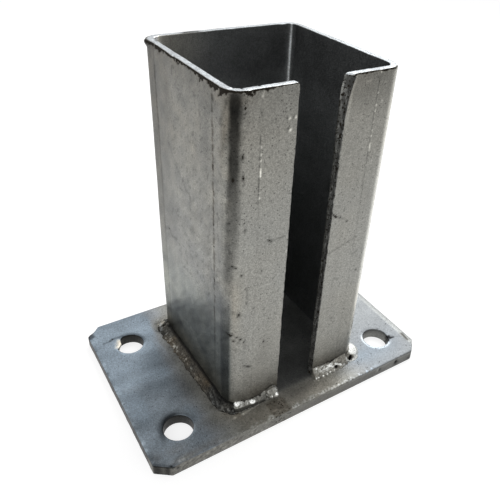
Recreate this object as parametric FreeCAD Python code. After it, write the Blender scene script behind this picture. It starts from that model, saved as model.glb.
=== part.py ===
"""Bolt-down fence post base: a folded steel sleeve with a full-height slot, welded to a drilled plate.

Frame: the origin is the centre of the plate's underside, +Z is up, +X runs along the plate's long side,
and the slot faces -Y. Sizes are in millimetres.
"""

import FreeCAD, Part
import math
import os

# Post sleeve, folded from one sheet so that its two free edges leave the slot between them
POST_CLEAR_WIDTH = 90.0
POST_CLEAR_DEPTH = 90.0
SLEEVE_WALL = 4.0
SLEEVE_HEIGHT = 200.0
BEND_INNER_RADIUS = 5.0
SLOT_WIDTH = 27.0
SLOT_CORNER_ROUND = 1.5
RIM_EDGE_ROUND = 0.5

# Base plate, which reaches past the sleeve on every side
PLATE_THICKNESS = 8.0
PLATE_SIDE_MARGIN = 16.0
PLATE_CORNER_CLIP = 9.0
PLATE_EDGE_ROUND = 0.8

# Anchor holes
HOLE_DIAMETER = 18.0
HOLE_PAST_SLEEVE = 28.0
HOLE_INSET_FROM_END = 23.0
HOLE_INSET_FROM_SIDE = 25.0
HOLE_MOUTH_CHAMFER = 0.6

# How far the sleeve and the hole pattern lie off the plate's centre, as this one was made
SLEEVE_OFF_CENTRE_X = 2.0
SLEEVE_OFF_CENTRE_Y = 1.0
HOLES_OFF_CENTRE_Y = -2.0

# Fillet welds round the foot of the sleeve
BEAD_WIDTH = 5.4
SIDE_BEAD_HEIGHT = 7.4
FRONT_BEAD_HEIGHT = 5.0
BEAD_BULGE = 0.58
BEAD_STATION_PITCH = 2.5
BEAD_WANDER_SHARE = 0.06
BEAD_WANDER_PITCH = 17.0
BEAD_WANDER_STEP = 1.3
BEAD_TAPER_LENGTH = 4.0
BEAD_TAPER_SHARE = 0.4
BEAD_END_INSET = 1.0
BEAD_CORNER_GAP = 0.4
BEAD_SLOT_GAP = 0.6

# Lumps where a bead was started or stopped
LUMP_LENGTH = 10.0
LUMP_EXTRA_WIDTH = 1.2
LUMP_EXTRA_HEIGHT = 2.6

# Worked out from the sizes above
SLEEVE_HALF_X = POST_CLEAR_WIDTH / 2 + SLEEVE_WALL
SLEEVE_HALF_Y = POST_CLEAR_DEPTH / 2 + SLEEVE_WALL
BEND_OUTER_RADIUS = BEND_INNER_RADIUS + SLEEVE_WALL
HOLE_REACH_X = SLEEVE_HALF_X + HOLE_PAST_SLEEVE
PLATE_HALF_X = HOLE_REACH_X + HOLE_INSET_FROM_END
PLATE_HALF_Y = SLEEVE_HALF_Y + PLATE_SIDE_MARGIN
HOLE_REACH_Y = PLATE_HALF_Y - HOLE_INSET_FROM_SIDE
SLOT_HALF_WIDTH = SLOT_WIDTH / 2

UP = FreeCAD.Vector(0, 0, 1)
SLEEVE_AXIS_FOOT = FreeCAD.Vector(SLEEVE_OFF_CENTRE_X, SLEEVE_OFF_CENTRE_Y, PLATE_THICKNESS)


def point(x, y, z=0.0):
    return FreeCAD.Vector(x, y, z)


def rounded_outline(half_x, half_y, radius):
    """A closed rectangle centred on Z with equal corner arcs, counter-clockwise from the front right."""
    mid = radius * (1 - math.sqrt(0.5))
    arcs = [
        [
            point(half_x - radius, -half_y),
            point(half_x - mid, mid - half_y),
            point(half_x, radius - half_y),
        ],
        [
            point(half_x, half_y - radius),
            point(half_x - mid, half_y - mid),
            point(half_x - radius, half_y),
        ],
        [
            point(radius - half_x, half_y),
            point(mid - half_x, half_y - mid),
            point(-half_x, half_y - radius),
        ],
        [
            point(-half_x, radius - half_y),
            point(mid - half_x, mid - half_y),
            point(radius - half_x, -half_y),
        ],
    ]
    edges = []
    for index, arc in enumerate(arcs):
        following = arcs[(index + 1) % len(arcs)]
        edges.append(Part.Arc(*arc).toShape())
        edges.append(Part.LineSegment(arc[-1], following[0]).toShape())
    return Part.Wire(edges)


def rounded_prism(half_x, half_y, radius, height):
    return Part.Face(rounded_outline(half_x, half_y, radius)).extrude(UP * height)


def clipped_outline(half_x, half_y, clip):
    """A closed rectangle centred on Z with its four corners cut off at 45 degrees."""
    points = [
        point(clip - half_x, -half_y),
        point(half_x - clip, -half_y),
        point(half_x, clip - half_y),
        point(half_x, half_y - clip),
        point(half_x - clip, half_y),
        point(clip - half_x, half_y),
        point(-half_x, half_y - clip),
        point(-half_x, clip - half_y),
    ]
    return Part.makePolygon(points + points[:1])


def is_level(edge):
    return edge.BoundBox.ZLength < 1e-6


def hole_centres():
    return [
        (side_x * HOLE_REACH_X, side_y * HOLE_REACH_Y + HOLES_OFF_CENTRE_Y)
        for side_x in (-1, 1)
        for side_y in (-1, 1)
    ]


def hole_drill(x, y):
    """The through hole with a small chamfer at its upper mouth."""
    radius = HOLE_DIAMETER / 2
    bore = Part.makeCylinder(radius, PLATE_THICKNESS, point(x, y))
    mouth_foot = point(x, y, PLATE_THICKNESS - HOLE_MOUTH_CHAMFER)
    mouth = Part.makeCone(radius, radius + HOLE_MOUTH_CHAMFER, HOLE_MOUTH_CHAMFER, mouth_foot)
    return bore.fuse(mouth)


def base_plate():
    """The flat bar, cut to length, with clipped corners, worn arrises and four anchor holes."""
    outline = clipped_outline(PLATE_HALF_X, PLATE_HALF_Y, PLATE_CORNER_CLIP)
    plate = Part.Face(outline).extrude(UP * PLATE_THICKNESS)
    plate = plate.makeFillet(PLATE_EDGE_ROUND, [edge for edge in plate.Edges if is_level(edge)])
    for x, y in hole_centres():
        plate = plate.cut(hole_drill(x, y))
    return plate


def slot_cutter():
    """The gap between the sleeve's free edges, through the front wall only."""
    corner = point(-SLOT_HALF_WIDTH, -SLEEVE_HALF_Y - SLEEVE_WALL)
    return Part.makeBox(SLOT_WIDTH, 2 * SLEEVE_WALL, SLEEVE_HEIGHT, corner)


def is_top_slot_corner(edge):
    """True for the two short edges where the slot's sides meet the sleeve's rim."""
    box = edge.BoundBox
    at_rim = box.ZMin > SLEEVE_HEIGHT - 1e-4
    beside_slot = abs(abs(box.Center.x) - SLOT_HALF_WIDTH) < 1e-4
    return at_rim and beside_slot and box.XLength < 1e-4


def is_rim_edge(edge):
    """True for the long edges round the sleeve's rim, outside and inside."""
    box = edge.BoundBox
    return box.ZMin > SLEEVE_HEIGHT - 1e-4 and edge.Length > SLEEVE_WALL + 1e-4


def post_sleeve():
    """Four folds in one sheet: three whole walls, and two front flanges with the slot between them."""
    outer = rounded_prism(SLEEVE_HALF_X, SLEEVE_HALF_Y, BEND_OUTER_RADIUS, SLEEVE_HEIGHT)
    inner = rounded_prism(
        POST_CLEAR_WIDTH / 2, POST_CLEAR_DEPTH / 2, BEND_INNER_RADIUS, SLEEVE_HEIGHT
    )
    sleeve = outer.cut(inner).cut(slot_cutter())
    sleeve = sleeve.makeFillet(
        SLOT_CORNER_ROUND, [edge for edge in sleeve.Edges if is_top_slot_corner(edge)]
    )
    sleeve = sleeve.makeFillet(RIM_EDGE_ROUND, [edge for edge in sleeve.Edges if is_rim_edge(edge)])
    sleeve.translate(SLEEVE_AXIS_FOOT)
    return sleeve


def lump_at(distance, centre):
    """The share of a lump's extra size at a distance along its bead: one smooth hump, zero beyond it."""
    from_centre = abs(distance - centre) / LUMP_LENGTH
    if from_centre >= 0.5:
        return 0.0
    return math.cos(math.pi * from_centre) ** 2


def bead_share_at(distance, length, order):
    """The share of a bead's plain size at a distance along it: a slow wander, and tapered ends."""
    phase = 2 * math.pi * distance / BEAD_WANDER_PITCH + order * BEAD_WANDER_STEP
    to_end = min(distance, length - distance, BEAD_TAPER_LENGTH)
    taper = BEAD_TAPER_SHARE * (1 - to_end / BEAD_TAPER_LENGTH) ** 2
    return (1 + BEAD_WANDER_SHARE * math.sin(phase)) * (1 - taper)


def bead_section(distance, width, height):
    """A convex fillet section in the YZ plane. The wall is the plane y = 0, the bead is in front of it.

    The section also reaches behind the wall plane, so that it fills the gap beside a rounded fold.
    """
    toe = point(distance, -width)
    crown = point(distance, -width * BEAD_BULGE, height * BEAD_BULGE)
    top = point(distance, 0, height)
    behind_top = point(distance, BEND_OUTER_RADIUS, height)
    behind_foot = point(distance, BEND_OUTER_RADIUS)
    return Part.Wire([
        Part.LineSegment(behind_foot, toe).toShape(),
        Part.Arc(toe, crown, top).toShape(),
        Part.LineSegment(top, behind_top).toShape(),
        Part.LineSegment(behind_top, behind_foot).toShape(),
    ])


def straight_bead(length, height, order, lump_centre=None):
    """A bead along +X from the origin, on the plane z = 0. The order it was laid in sets its wander."""
    steps = max(2, round(length / BEAD_STATION_PITCH))
    sections = []
    for index in range(steps + 1):
        distance = length * index / steps
        share = bead_share_at(distance, length, order)
        extra = 0.0 if lump_centre is None else lump_at(distance, lump_centre)
        section_width = BEAD_WIDTH * share + LUMP_EXTRA_WIDTH * extra
        section_height = height * share + LUMP_EXTRA_HEIGHT * extra
        sections.append(bead_section(distance, section_width, section_height))
    return Part.makeLoft(sections, True, True)


def seated(bead, start_x, start_y, turn_degrees):
    """Turns a straight bead about Z, moves it to its wall, and trims it to the sleeve's outer skin."""
    placed = bead.copy()
    placed.rotate(point(0, 0), UP, turn_degrees)
    placed.translate(point(start_x, start_y))
    skin = rounded_prism(SLEEVE_HALF_X, SLEEVE_HALF_Y, BEND_OUTER_RADIUS, SLEEVE_HEIGHT)
    trimmed = placed.cut(skin)
    trimmed.translate(SLEEVE_AXIS_FOOT)
    return trimmed


def end_reach():
    """How far from the sleeve's axis the front and back beads end: clear of the side beads' ends."""
    past_arc_centre = BEND_OUTER_RADIUS - BEAD_END_INSET
    across_arc = math.sqrt(BEND_OUTER_RADIUS ** 2 - past_arc_centre ** 2)
    return SLEEVE_HALF_X - BEND_OUTER_RADIUS + across_arc - BEAD_CORNER_GAP


def side_bead_reach():
    return SLEEVE_HALF_Y - BEAD_END_INSET


def left_side_bead():
    """Along the left wall from the back to the front, with a start lump at the back."""
    reach = side_bead_reach()
    bead = straight_bead(2 * reach, SIDE_BEAD_HEIGHT, 0, LUMP_LENGTH / 2)
    return seated(bead, -SLEEVE_HALF_X, reach, -90)


def right_side_bead():
    """Along the right wall from the front to the back, with a start lump at the front."""
    reach = side_bead_reach()
    bead = straight_bead(2 * reach, SIDE_BEAD_HEIGHT, 1, LUMP_LENGTH / 2)
    return seated(bead, SLEEVE_HALF_X, -reach, 90)


def front_left_bead():
    """Under the left flange from the fold to the slot, with a stop lump at the slot."""
    length = end_reach() - SLOT_HALF_WIDTH - BEAD_SLOT_GAP
    bead = straight_bead(length, FRONT_BEAD_HEIGHT, 2, length - LUMP_LENGTH / 2)
    return seated(bead, -end_reach(), -SLEEVE_HALF_Y, 0)


def front_right_bead():
    """Under the right flange from the slot to the fold."""
    slot_end = SLOT_HALF_WIDTH + BEAD_SLOT_GAP
    bead = straight_bead(end_reach() - slot_end, FRONT_BEAD_HEIGHT, 3)
    return seated(bead, slot_end, -SLEEVE_HALF_Y, 0)


def back_bead():
    """Along the back wall from the right fold to the left one."""
    bead = straight_bead(2 * end_reach(), SIDE_BEAD_HEIGHT, 4)
    return seated(bead, end_reach(), SLEEVE_HALF_Y, 180)


def main():
    os.makedirs("parts", exist_ok=True)
    nodes = {
        "base_plate": base_plate(),
        "post_sleeve": post_sleeve(),
        "weld_left_side": left_side_bead(),
        "weld_right_side": right_side_bead(),
        "weld_front_left": front_left_bead(),
        "weld_front_right": front_right_bead(),
        "weld_back": back_bead(),
    }
    for name, shape in nodes.items():
        shape.exportStep(f"parts/{name}.step")
        print(name, "solids", len(shape.Solids), "valid", shape.isValid(), "mm3", round(shape.Volume, 1))


main()
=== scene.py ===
"""Looks for the fence post base: folded steel sleeve, drilled plate and weld beads, in metres."""

import bpy
import math
import numpy as np
from mathutils import Matrix, Vector
from mathutils.geometry import delaunay_2d_cdt


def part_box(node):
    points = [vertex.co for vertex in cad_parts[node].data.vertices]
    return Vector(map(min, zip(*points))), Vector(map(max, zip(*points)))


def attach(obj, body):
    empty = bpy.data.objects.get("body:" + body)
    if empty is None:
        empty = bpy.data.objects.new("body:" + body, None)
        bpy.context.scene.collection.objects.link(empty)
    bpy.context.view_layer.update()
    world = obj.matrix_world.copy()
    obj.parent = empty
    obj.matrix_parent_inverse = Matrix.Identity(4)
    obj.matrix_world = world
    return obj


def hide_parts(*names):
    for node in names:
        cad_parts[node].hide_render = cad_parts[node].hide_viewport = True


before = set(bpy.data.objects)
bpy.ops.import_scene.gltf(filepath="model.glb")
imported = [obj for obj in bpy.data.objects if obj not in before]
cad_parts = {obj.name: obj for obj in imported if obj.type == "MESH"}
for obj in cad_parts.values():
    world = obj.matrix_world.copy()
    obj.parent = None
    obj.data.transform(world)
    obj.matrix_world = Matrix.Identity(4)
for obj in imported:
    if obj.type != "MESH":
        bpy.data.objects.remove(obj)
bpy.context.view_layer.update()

# The camera, solved from the object's own edges in the 500 x 500 photograph
PHOTO_SIDE_PX = 500
FOCAL_LENGTH_PX = 556.3
PRINCIPAL_POINT_PX = (273.7, 244.9)
CAMERA_PLACE = Vector((-0.1540, -0.2432, 0.2861))
CAMERA_YAW = 0.5987
CAMERA_PITCH = 0.5995
CAMERA_ROLL = 0.0619
SENSOR_MM = 36.0

# Sizes in millimetres, read from the CAD nodes where they give them
SLEEVE_LOW, SLEEVE_HIGH = (np.array(corner) * 1000 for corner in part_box("post_sleeve"))
PLATE_LOW, PLATE_HIGH = (np.array(corner) * 1000 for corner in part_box("base_plate"))
WALL = 4.0
BEND_OUTER = 9.0
SLOT_LEFT = -11.5
SLOT_RIGHT = 15.5
FOOT = SLEEVE_LOW[2]
TOP = SLEEVE_HIGH[2]
CORNER_CLIP = 9.0
HOLE_RADIUS = 9.0
HOLE_CENTRES = [(-77.0, -42.0), (77.0, -42.0), (-77.0, 38.0), (77.0, 38.0)]
QUARTER_TURN = math.pi / 2

# Steel colours as red and blue shares of green, from blue-grey through neutral to brown
TINT_STEPS = (-2.0, -1.0, 0.0, 1.0, 2.0, 3.0)
TINT_RED = (0.83, 0.94, 0.98, 1.02, 1.11, 1.24)
TINT_BLUE = (1.16, 1.05, 0.965, 0.90, 0.82, 0.70)
BLACK_STEEL = (0.016, 0.013, 0.009, 1)


def make_camera():
    """The photograph's own camera, with its centre off the middle of the picture."""
    data = bpy.data.cameras.new("camera")
    data.sensor_width = SENSOR_MM
    data.lens = SENSOR_MM * FOCAL_LENGTH_PX / PHOTO_SIDE_PX
    data.shift_x = (PHOTO_SIDE_PX / 2 - PRINCIPAL_POINT_PX[0]) / PHOTO_SIDE_PX
    data.shift_y = (PRINCIPAL_POINT_PX[1] - PHOTO_SIDE_PX / 2) / PHOTO_SIDE_PX
    data.clip_start = 0.01
    data.clip_end = 20.0
    camera = bpy.data.objects.new("camera", data)
    forward = Vector((
        math.sin(CAMERA_YAW) * math.cos(CAMERA_PITCH),
        math.cos(CAMERA_YAW) * math.cos(CAMERA_PITCH),
        -math.sin(CAMERA_PITCH),
    ))
    level_right = Vector((math.cos(CAMERA_YAW), -math.sin(CAMERA_YAW), 0.0))
    level_up = level_right.cross(forward)
    right = math.cos(CAMERA_ROLL) * level_right + math.sin(CAMERA_ROLL) * level_up
    up = math.cos(CAMERA_ROLL) * level_up - math.sin(CAMERA_ROLL) * level_right
    turn = Matrix((right, up, -forward)).transposed()
    camera.matrix_world = Matrix.Translation(CAMERA_PLACE) @ turn.to_4x4()
    bpy.context.scene.collection.objects.link(camera)
    bpy.context.scene.camera = camera


# Seeded noise and soft masks


def hashed(cells, seed):
    """A fixed scattered number from 0 to 1 for each whole-number cell."""
    bits = cells[..., 0] * 73856093 ^ cells[..., 1] * 19349663 ^ cells[..., 2] * 83492791
    bits = (bits ^ seed * 2654435761) & 0xFFFFFFFF
    for _ in range(2):
        bits = ((bits ^ bits >> 16) * 0x45D9F3B) & 0xFFFFFFFF
    return ((bits ^ bits >> 16) & 0xFFFFFF) / 0xFFFFFF


def noise(points, cell, seed):
    """Smooth noise from -1 to 1 whose lumps are about one cell across."""
    place = np.asarray(points, float) / cell
    low = np.floor(place).astype(np.int64)
    part = place - low
    part = part * part * (3 - 2 * part)
    total = np.zeros(len(place))
    for corner in range(8):
        step = np.array([corner & 1, corner >> 1 & 1, corner >> 2 & 1])
        share = np.prod(np.where(step == 1, part, 1 - part), axis=-1)
        total += share * hashed(low + step, seed)
    return 2 * total - 1


def layered(points, cell, seed, layers=3):
    """Noise in layers, each half the size and half the strength of the one before."""
    total = np.zeros(len(points))
    for layer in range(layers):
        total += noise(points, cell / 2 ** layer, seed + 17 * layer) / 2 ** layer
    return total / (2 - 2 ** (1 - layers))


def ramp(value, low, high):
    """Rises smoothly from 0 at low to 1 at high; low may be the larger."""
    share = np.clip((value - low) / (high - low), 0, 1)
    return share * share * (3 - 2 * share)


def hill(value, centre, spread):
    """A soft bump, 1 at its centre."""
    return np.exp(-((value - centre) / spread) ** 2)


def mixed(base, other, share):
    """base where the share is 0, and other where it is 1."""
    return base * (1 - share) + other * share


def between(value, start, full, fading, end):
    """1 from full to fading, and 0 before start and after end."""
    return ramp(value, start, full) * ramp(value, end, fading)


def spot(across, along, centre, spread):
    """A soft oval spot, 1 at its centre."""
    return np.exp(-((across - centre[0]) / spread[0]) ** 2 - ((along - centre[1]) / spread[1]) ** 2)


def scratch(across, along, start, end, spread):
    """A soft straight line from start to end, 1 along its middle."""
    run = np.array(end, float) - start
    share = ((across - start[0]) * run[0] + (along - start[1]) * run[1]) / (run @ run)
    share = np.clip(share, 0, 1)
    away = np.hypot(across - start[0] - share * run[0], along - start[1] - share * run[1])
    return np.exp(-(away / spread) ** 2)


def steel_colour(tone, tint):
    """Linear colours of a grey of this tone, leaning to blue below 0 and to brown above."""
    red = np.interp(tint, TINT_STEPS, TINT_RED)
    blue = np.interp(tint, TINT_STEPS, TINT_BLUE)
    return np.stack([tone * red, tone, tone * blue], axis=-1)


# Paths and meshes


def heading(angle):
    """The direction that an angle points in."""
    return np.array([np.cos(angle), np.sin(angle)]).T


def walk(start, facing, runs, distance):
    """Points and outward normals along straight runs and right-hand bends, given as (length, turn)."""
    point = np.array(start, float)
    places = np.zeros((len(distance), 2))
    normals = np.zeros((len(distance), 2))
    begun = 0.0
    for length, turn in runs:
        here = (distance >= begun - 1e-6) & (distance <= begun + length + 1e-6)
        along = (distance[here] - begun)[:, None]
        if turn:
            radius = length / turn
            centre = point - radius * heading(facing)
            normals[here] = heading(facing - along[:, 0] / radius)
            places[here] = centre + radius * normals[here]
            facing -= turn
            point = centre + radius * heading(facing)
        else:
            forward = heading(facing - QUARTER_TURN)
            normals[here] = heading(facing)
            places[here] = point + along * forward
            point = point + length * forward
        begun += length
    return places, normals


def walked_levels(start, end, step_at):
    """Levels from start to end whose spacing follows step_at."""
    levels = [start]
    while levels[-1] < end:
        levels.append(levels[-1] + step_at(levels[-1]))
    levels = np.array(levels)
    return start + (levels - start) * (end - start) / (levels[-1] - start)


def new_piece(name, points, faces, colours, skin, material, node):
    """A mesh from points in millimetres; skin holds each point's roughness, speck density and flaking."""
    mesh = bpy.data.meshes.new(name)
    mesh.from_pydata((np.asarray(points) / 1000).tolist(), [], faces)
    mesh.polygons.foreach_set("use_smooth", np.ones(len(mesh.polygons), bool))
    for label, values in (("shade", colours), ("skin", np.stack(skin, axis=-1))):
        layer = mesh.attributes.new(label, "FLOAT_COLOR", "POINT")
        rgba = np.ones((len(points), 4), np.float32)
        rgba[:, :3] = np.clip(values, 0.002, 1)
        layer.data.foreach_set("color", rgba.ravel())
    mesh.update()
    piece = bpy.data.objects.new(name, mesh)
    bpy.context.scene.collection.objects.link(piece)
    mesh.materials.append(material)
    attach(piece, "root")
    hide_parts(node)


def marked(across, up, spots, lines):
    """The shade that spots and lines leave: below 1 where they darken and above 1 where they lighten."""
    shade = np.ones(len(across))
    for x, y, wide, tall, depth in spots:
        shade *= 1 - depth * spot(across, up, (x, y), (wide, tall))
    for x, y, end_x, end_y, spread, depth in lines:
        shade *= 1 - depth * scratch(across, up, (x, y), (end_x, end_y), spread)
    return shade


# Materials


def set_inputs(tree, node, inputs):
    """Links each input to a socket, or gives it a value."""
    for name, value in inputs.items():
        if isinstance(value, bpy.types.NodeSocket):
            tree.links.new(value, node.inputs[name])
        else:
            node.inputs[name].default_value = value


def add_node(tree, kind, inputs, **settings):
    """A shader node with its settings made and its inputs set."""
    node = tree.nodes.new(kind)
    for name, value in settings.items():
        setattr(node, name, value)
    set_inputs(tree, node, inputs)
    return node


def noise_node(tree, place, size_mm, detail=2.0, shift=0.0, stretch=(1, 1, 1)):
    """Noise with lumps of about size_mm, on coordinates in metres."""
    settings = {"Vector": place, "Location": (shift, shift, shift), "Scale": stretch}
    moved = add_node(tree, "ShaderNodeMapping", settings).outputs[0]
    settings = {"Vector": moved, "Scale": 1000 / size_mm, "Detail": detail}
    return add_node(tree, "ShaderNodeTexNoise", settings).outputs[0]


def map_node(tree, value, *ranges):
    """The value carried over from one range to another, given as low, high, new low and new high."""
    settings = dict(zip(("From Min", "From Max", "To Min", "To Max"), ranges), Value=value)
    return add_node(tree, "ShaderNodeMapRange", settings).outputs[0]


def varied(tree, value, reach, middle=1.0):
    """Noise spread from reach below middle to reach above it."""
    return map_node(tree, value, 0.3, 0.7, middle - reach, middle + reach)


def math_node(tree, operation, first, second):
    """One step of arithmetic on two values."""
    return add_node(tree, "ShaderNodeMath", {0: first, 1: second}, operation=operation).outputs[0]


def product_of(tree, first, *others):
    """All the values multiplied."""
    for other in others:
        first = math_node(tree, "MULTIPLY", first, other)
    return first


def new_material(name):
    """A material, with its node tree and its shader."""
    material = bpy.data.materials.new(name)
    material.use_nodes = True
    return material, material.node_tree, material.node_tree.nodes["Principled BSDF"]


def pinhole_nodes(tree, place, crud, speck_mm, speck_share):
    """1 in the middle of each pinhole; crud says how many of the cells have one."""
    cells = add_node(tree, "ShaderNodeTexVoronoi", {"Vector": place, "Scale": 1000 / speck_mm})
    dots = map_node(tree, cells.outputs["Distance"], 0.36, 0.2, 0.0, 1.0)
    chance = add_node(tree, "ShaderNodeSeparateColor", {"Color": cells.outputs["Color"]}).outputs[0]
    kept = math_node(tree, "LESS_THAN", chance, product_of(tree, crud, speck_share))
    return product_of(tree, dots, kept)


def black_nodes(tree, place, flaking):
    """1 where black lumps show through, more of them the higher flaking is."""
    needed = map_node(tree, flaking, 0.0, 1.0, 0.9, 0.25)
    above = math_node(tree, "SUBTRACT", noise_node(tree, place, 1.3, 3.0, 0.83), needed)
    return map_node(tree, above, -0.02, 0.02, 0.0, 1.0)


def steel_material(name, metallic, grain_depth, speck_mm, speck_share, bump_mm, streaks=0.0):
    """Dull zinc over steel: stored colours broken up by grain, pinholes, black flaking and streaks."""
    material, tree, shader = new_material(name)
    place = add_node(tree, "ShaderNodeTexCoord", {}).outputs["Object"]
    shade, skin = (
        add_node(tree, "ShaderNodeAttribute", {}, attribute_name=label).outputs["Color"]
        for label in ("shade", "skin")
    )
    gloss, crud, flaking = add_node(tree, "ShaderNodeSeparateColor", {"Color": skin}).outputs
    grain = noise_node(tree, place, 1.5, 3.0)
    fine = noise_node(tree, place, 0.6, 1.0, 0.44)
    cloud = noise_node(tree, place, 11.0, 3.0, 0.31)
    pinholes = pinhole_nodes(tree, place, crud, speck_mm, speck_share)
    black = black_nodes(tree, place, flaking)

    depths = ((grain, grain_depth), (fine, 1.7 * grain_depth), (cloud, 0.06))
    factors = [varied(tree, part, depth) for part, depth in depths]
    if streaks:
        factors.append(varied(tree, noise_node(tree, place, 2.2, 2.0, 0.57, (1, 1, 0.05)), streaks))
    strength = product_of(tree, *factors, map_node(tree, pinholes, 0.0, 1.0, 1.0, 0.45))
    colour = add_node(tree, "ShaderNodeVectorMath", {"Vector": shade, "Scale": strength}, operation="SCALE")
    blackened = {0: black, 6: colour.outputs["Vector"], 7: BLACK_STEEL}
    metal = map_node(tree, black, 0.0, 1.0, metallic, 0.0)
    rough = math_node(tree, "ADD", gloss, map_node(tree, black, 0.0, 1.0, 0.0, 0.3))
    for part in (cloud, grain):
        rough = math_node(tree, "ADD", rough, varied(tree, part, 0.05, 0.0))
    height = math_node(tree, "SUBTRACT", math_node(tree, "ADD", grain, fine), pinholes)
    bump = add_node(tree, "ShaderNodeBump", {"Height": height, "Strength": 1.0, "Distance": bump_mm / 1000})
    set_inputs(tree, shader, {
        "Base Color": add_node(tree, "ShaderNodeMix", blackened, data_type="RGBA").outputs[2],
        "Metallic": product_of(tree, metal, map_node(tree, flaking, 0.75, 1.0, 1.0, 0.1)),
        "Roughness": rough,
        "Specular IOR Level": 0.1,
        "Normal": bump.outputs[0],
    })
    return material


# The folded sleeve

FLANGE_LEFT = SLOT_LEFT - SLEEVE_LOW[0] - BEND_OUTER
FLANGE_RIGHT = SLEEVE_HIGH[0] - BEND_OUTER - SLOT_RIGHT
SIDE = SLEEVE_HIGH[1] - SLEEVE_LOW[1] - 2 * BEND_OUTER
BEND_RUN = BEND_OUTER * QUARTER_TURN
SHEET_RUNS = [(FLANGE_LEFT, 0), (BEND_RUN, QUARTER_TURN)]
SHEET_RUNS += [(SIDE, 0), (BEND_RUN, QUARTER_TURN)] * 3
SHEET_RUNS += [(FLANGE_RIGHT, 0)]
SHEET_LENGTH = sum(length for length, _ in SHEET_RUNS)
LEFT_FOLD, REAR_LEFT_FOLD, REAR_RIGHT_FOLD, RIGHT_FOLD = (
    FLANGE_LEFT + BEND_RUN / 2 + fold * (SIDE + BEND_RUN) for fold in range(4)
)
PRESS_MARKS = [19.3, 47.6, 113.3, 141.1, 208.5, 235.2, 302.6, 330.0]
EDGE_ROUND = 0.4
RIM_ROUND = 0.9
SLOT_CORNER = 1.5
SHEET_GREY = 0.235
# Place along the sheet of the burr on its rim
RIM_BURR = 122.5
# Half width of the bright and dark dashes beside two press marks
DASH_WIDTH = 0.34
# How light the front wall is at heights up it: darker at its foot by the weld and towards the rim, as painted
# shade
FRONT_HEIGHTS = (8, 13, 18, 27, 40, 80, 115, 150, 185, 206)
FRONT_TONES = (0.4, 0.55, 0.86, 1.1, 1.22, 1.3, 1.3, 1.2, 1.06, 0.8)
# How light the inside is at heights up it
INSIDE_HEIGHTS = (8, 70, 100, 120, 140, 165, 185, 206)
INSIDE_TONES = (1.82, 2.25, 2.42, 2.62, 2.78, 2.7, 1.45, 1.05)
# How far flaked zinc reaches below the rim, at places along the sheet
FLAKED_ALONG = (0, 12, 14, 17, 19, 22, 24, 27, 31, 34, 38, 40, 45, 50, 53, 56, 58, 62, 64,
                80, 83, 88, 92, 100, 104, 110, 113, 200, 349)
FLAKED_DEPTH = (0.3, 0.3, 0.8, 1.4, 0.5, 0.9, 2.2, 2.4, 1.2, 1.2, 1.8, 3.4, 3.8, 3.0, 1.6, 1.9, 3.2, 2.8, 1.4,
                1.2, 2.4, 2.0, 1.2, 1.3, 2.8, 2.6, 1.4, 0.5, 0.6)
# The slot's right edge was cut at a slant near the top: width of the slant at each height
SLANT_HEIGHTS = (8, 150, 185, 192, 196, 200, 204, 208)
SLANT_WIDTHS = (0.0, 0.0, 0.2, 0.7, 1.2, 2.0, 3.3, 4.8)
# The painted dark reflection down the front left bend: its two sides, as places along the sheet, and its
# depth
BAND_HEIGHTS = (95, 110, 130, 150, 160, 170, 180, 190, 200, 205, 208)
BAND_WALL_SIDE = (38.0, 37.4, 36.8, 36.2, 35.9, 35.4, 35.1, 35.2, 35.6, 35.2, 34.8)
BAND_FRONT_SIDE = (34.0, 32.6, 30.4, 29.8, 30.0, 30.3, 30.4, 29.7, 29.4, 29.8, 30.2)
BAND_DEPTH = (0.0, 0.34, 0.46, 0.60, 0.74, 0.86, 0.91, 0.95, 0.94, 0.84, 0.7)
# Where the left wall's painted shade begins, towards its foot: height at places along the sheet
DARK_ALONG = (40, 47.6, 54.6, 59.6, 65.6, 71.6, 79.6, 87.6, 94.6, 104.6, 114.6, 122, 180, 308)
DARK_BELOW = (93, 88, 84, 80, 76, 70, 63, 58, 52, 45, 36, 27, 40, 45)
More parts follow.
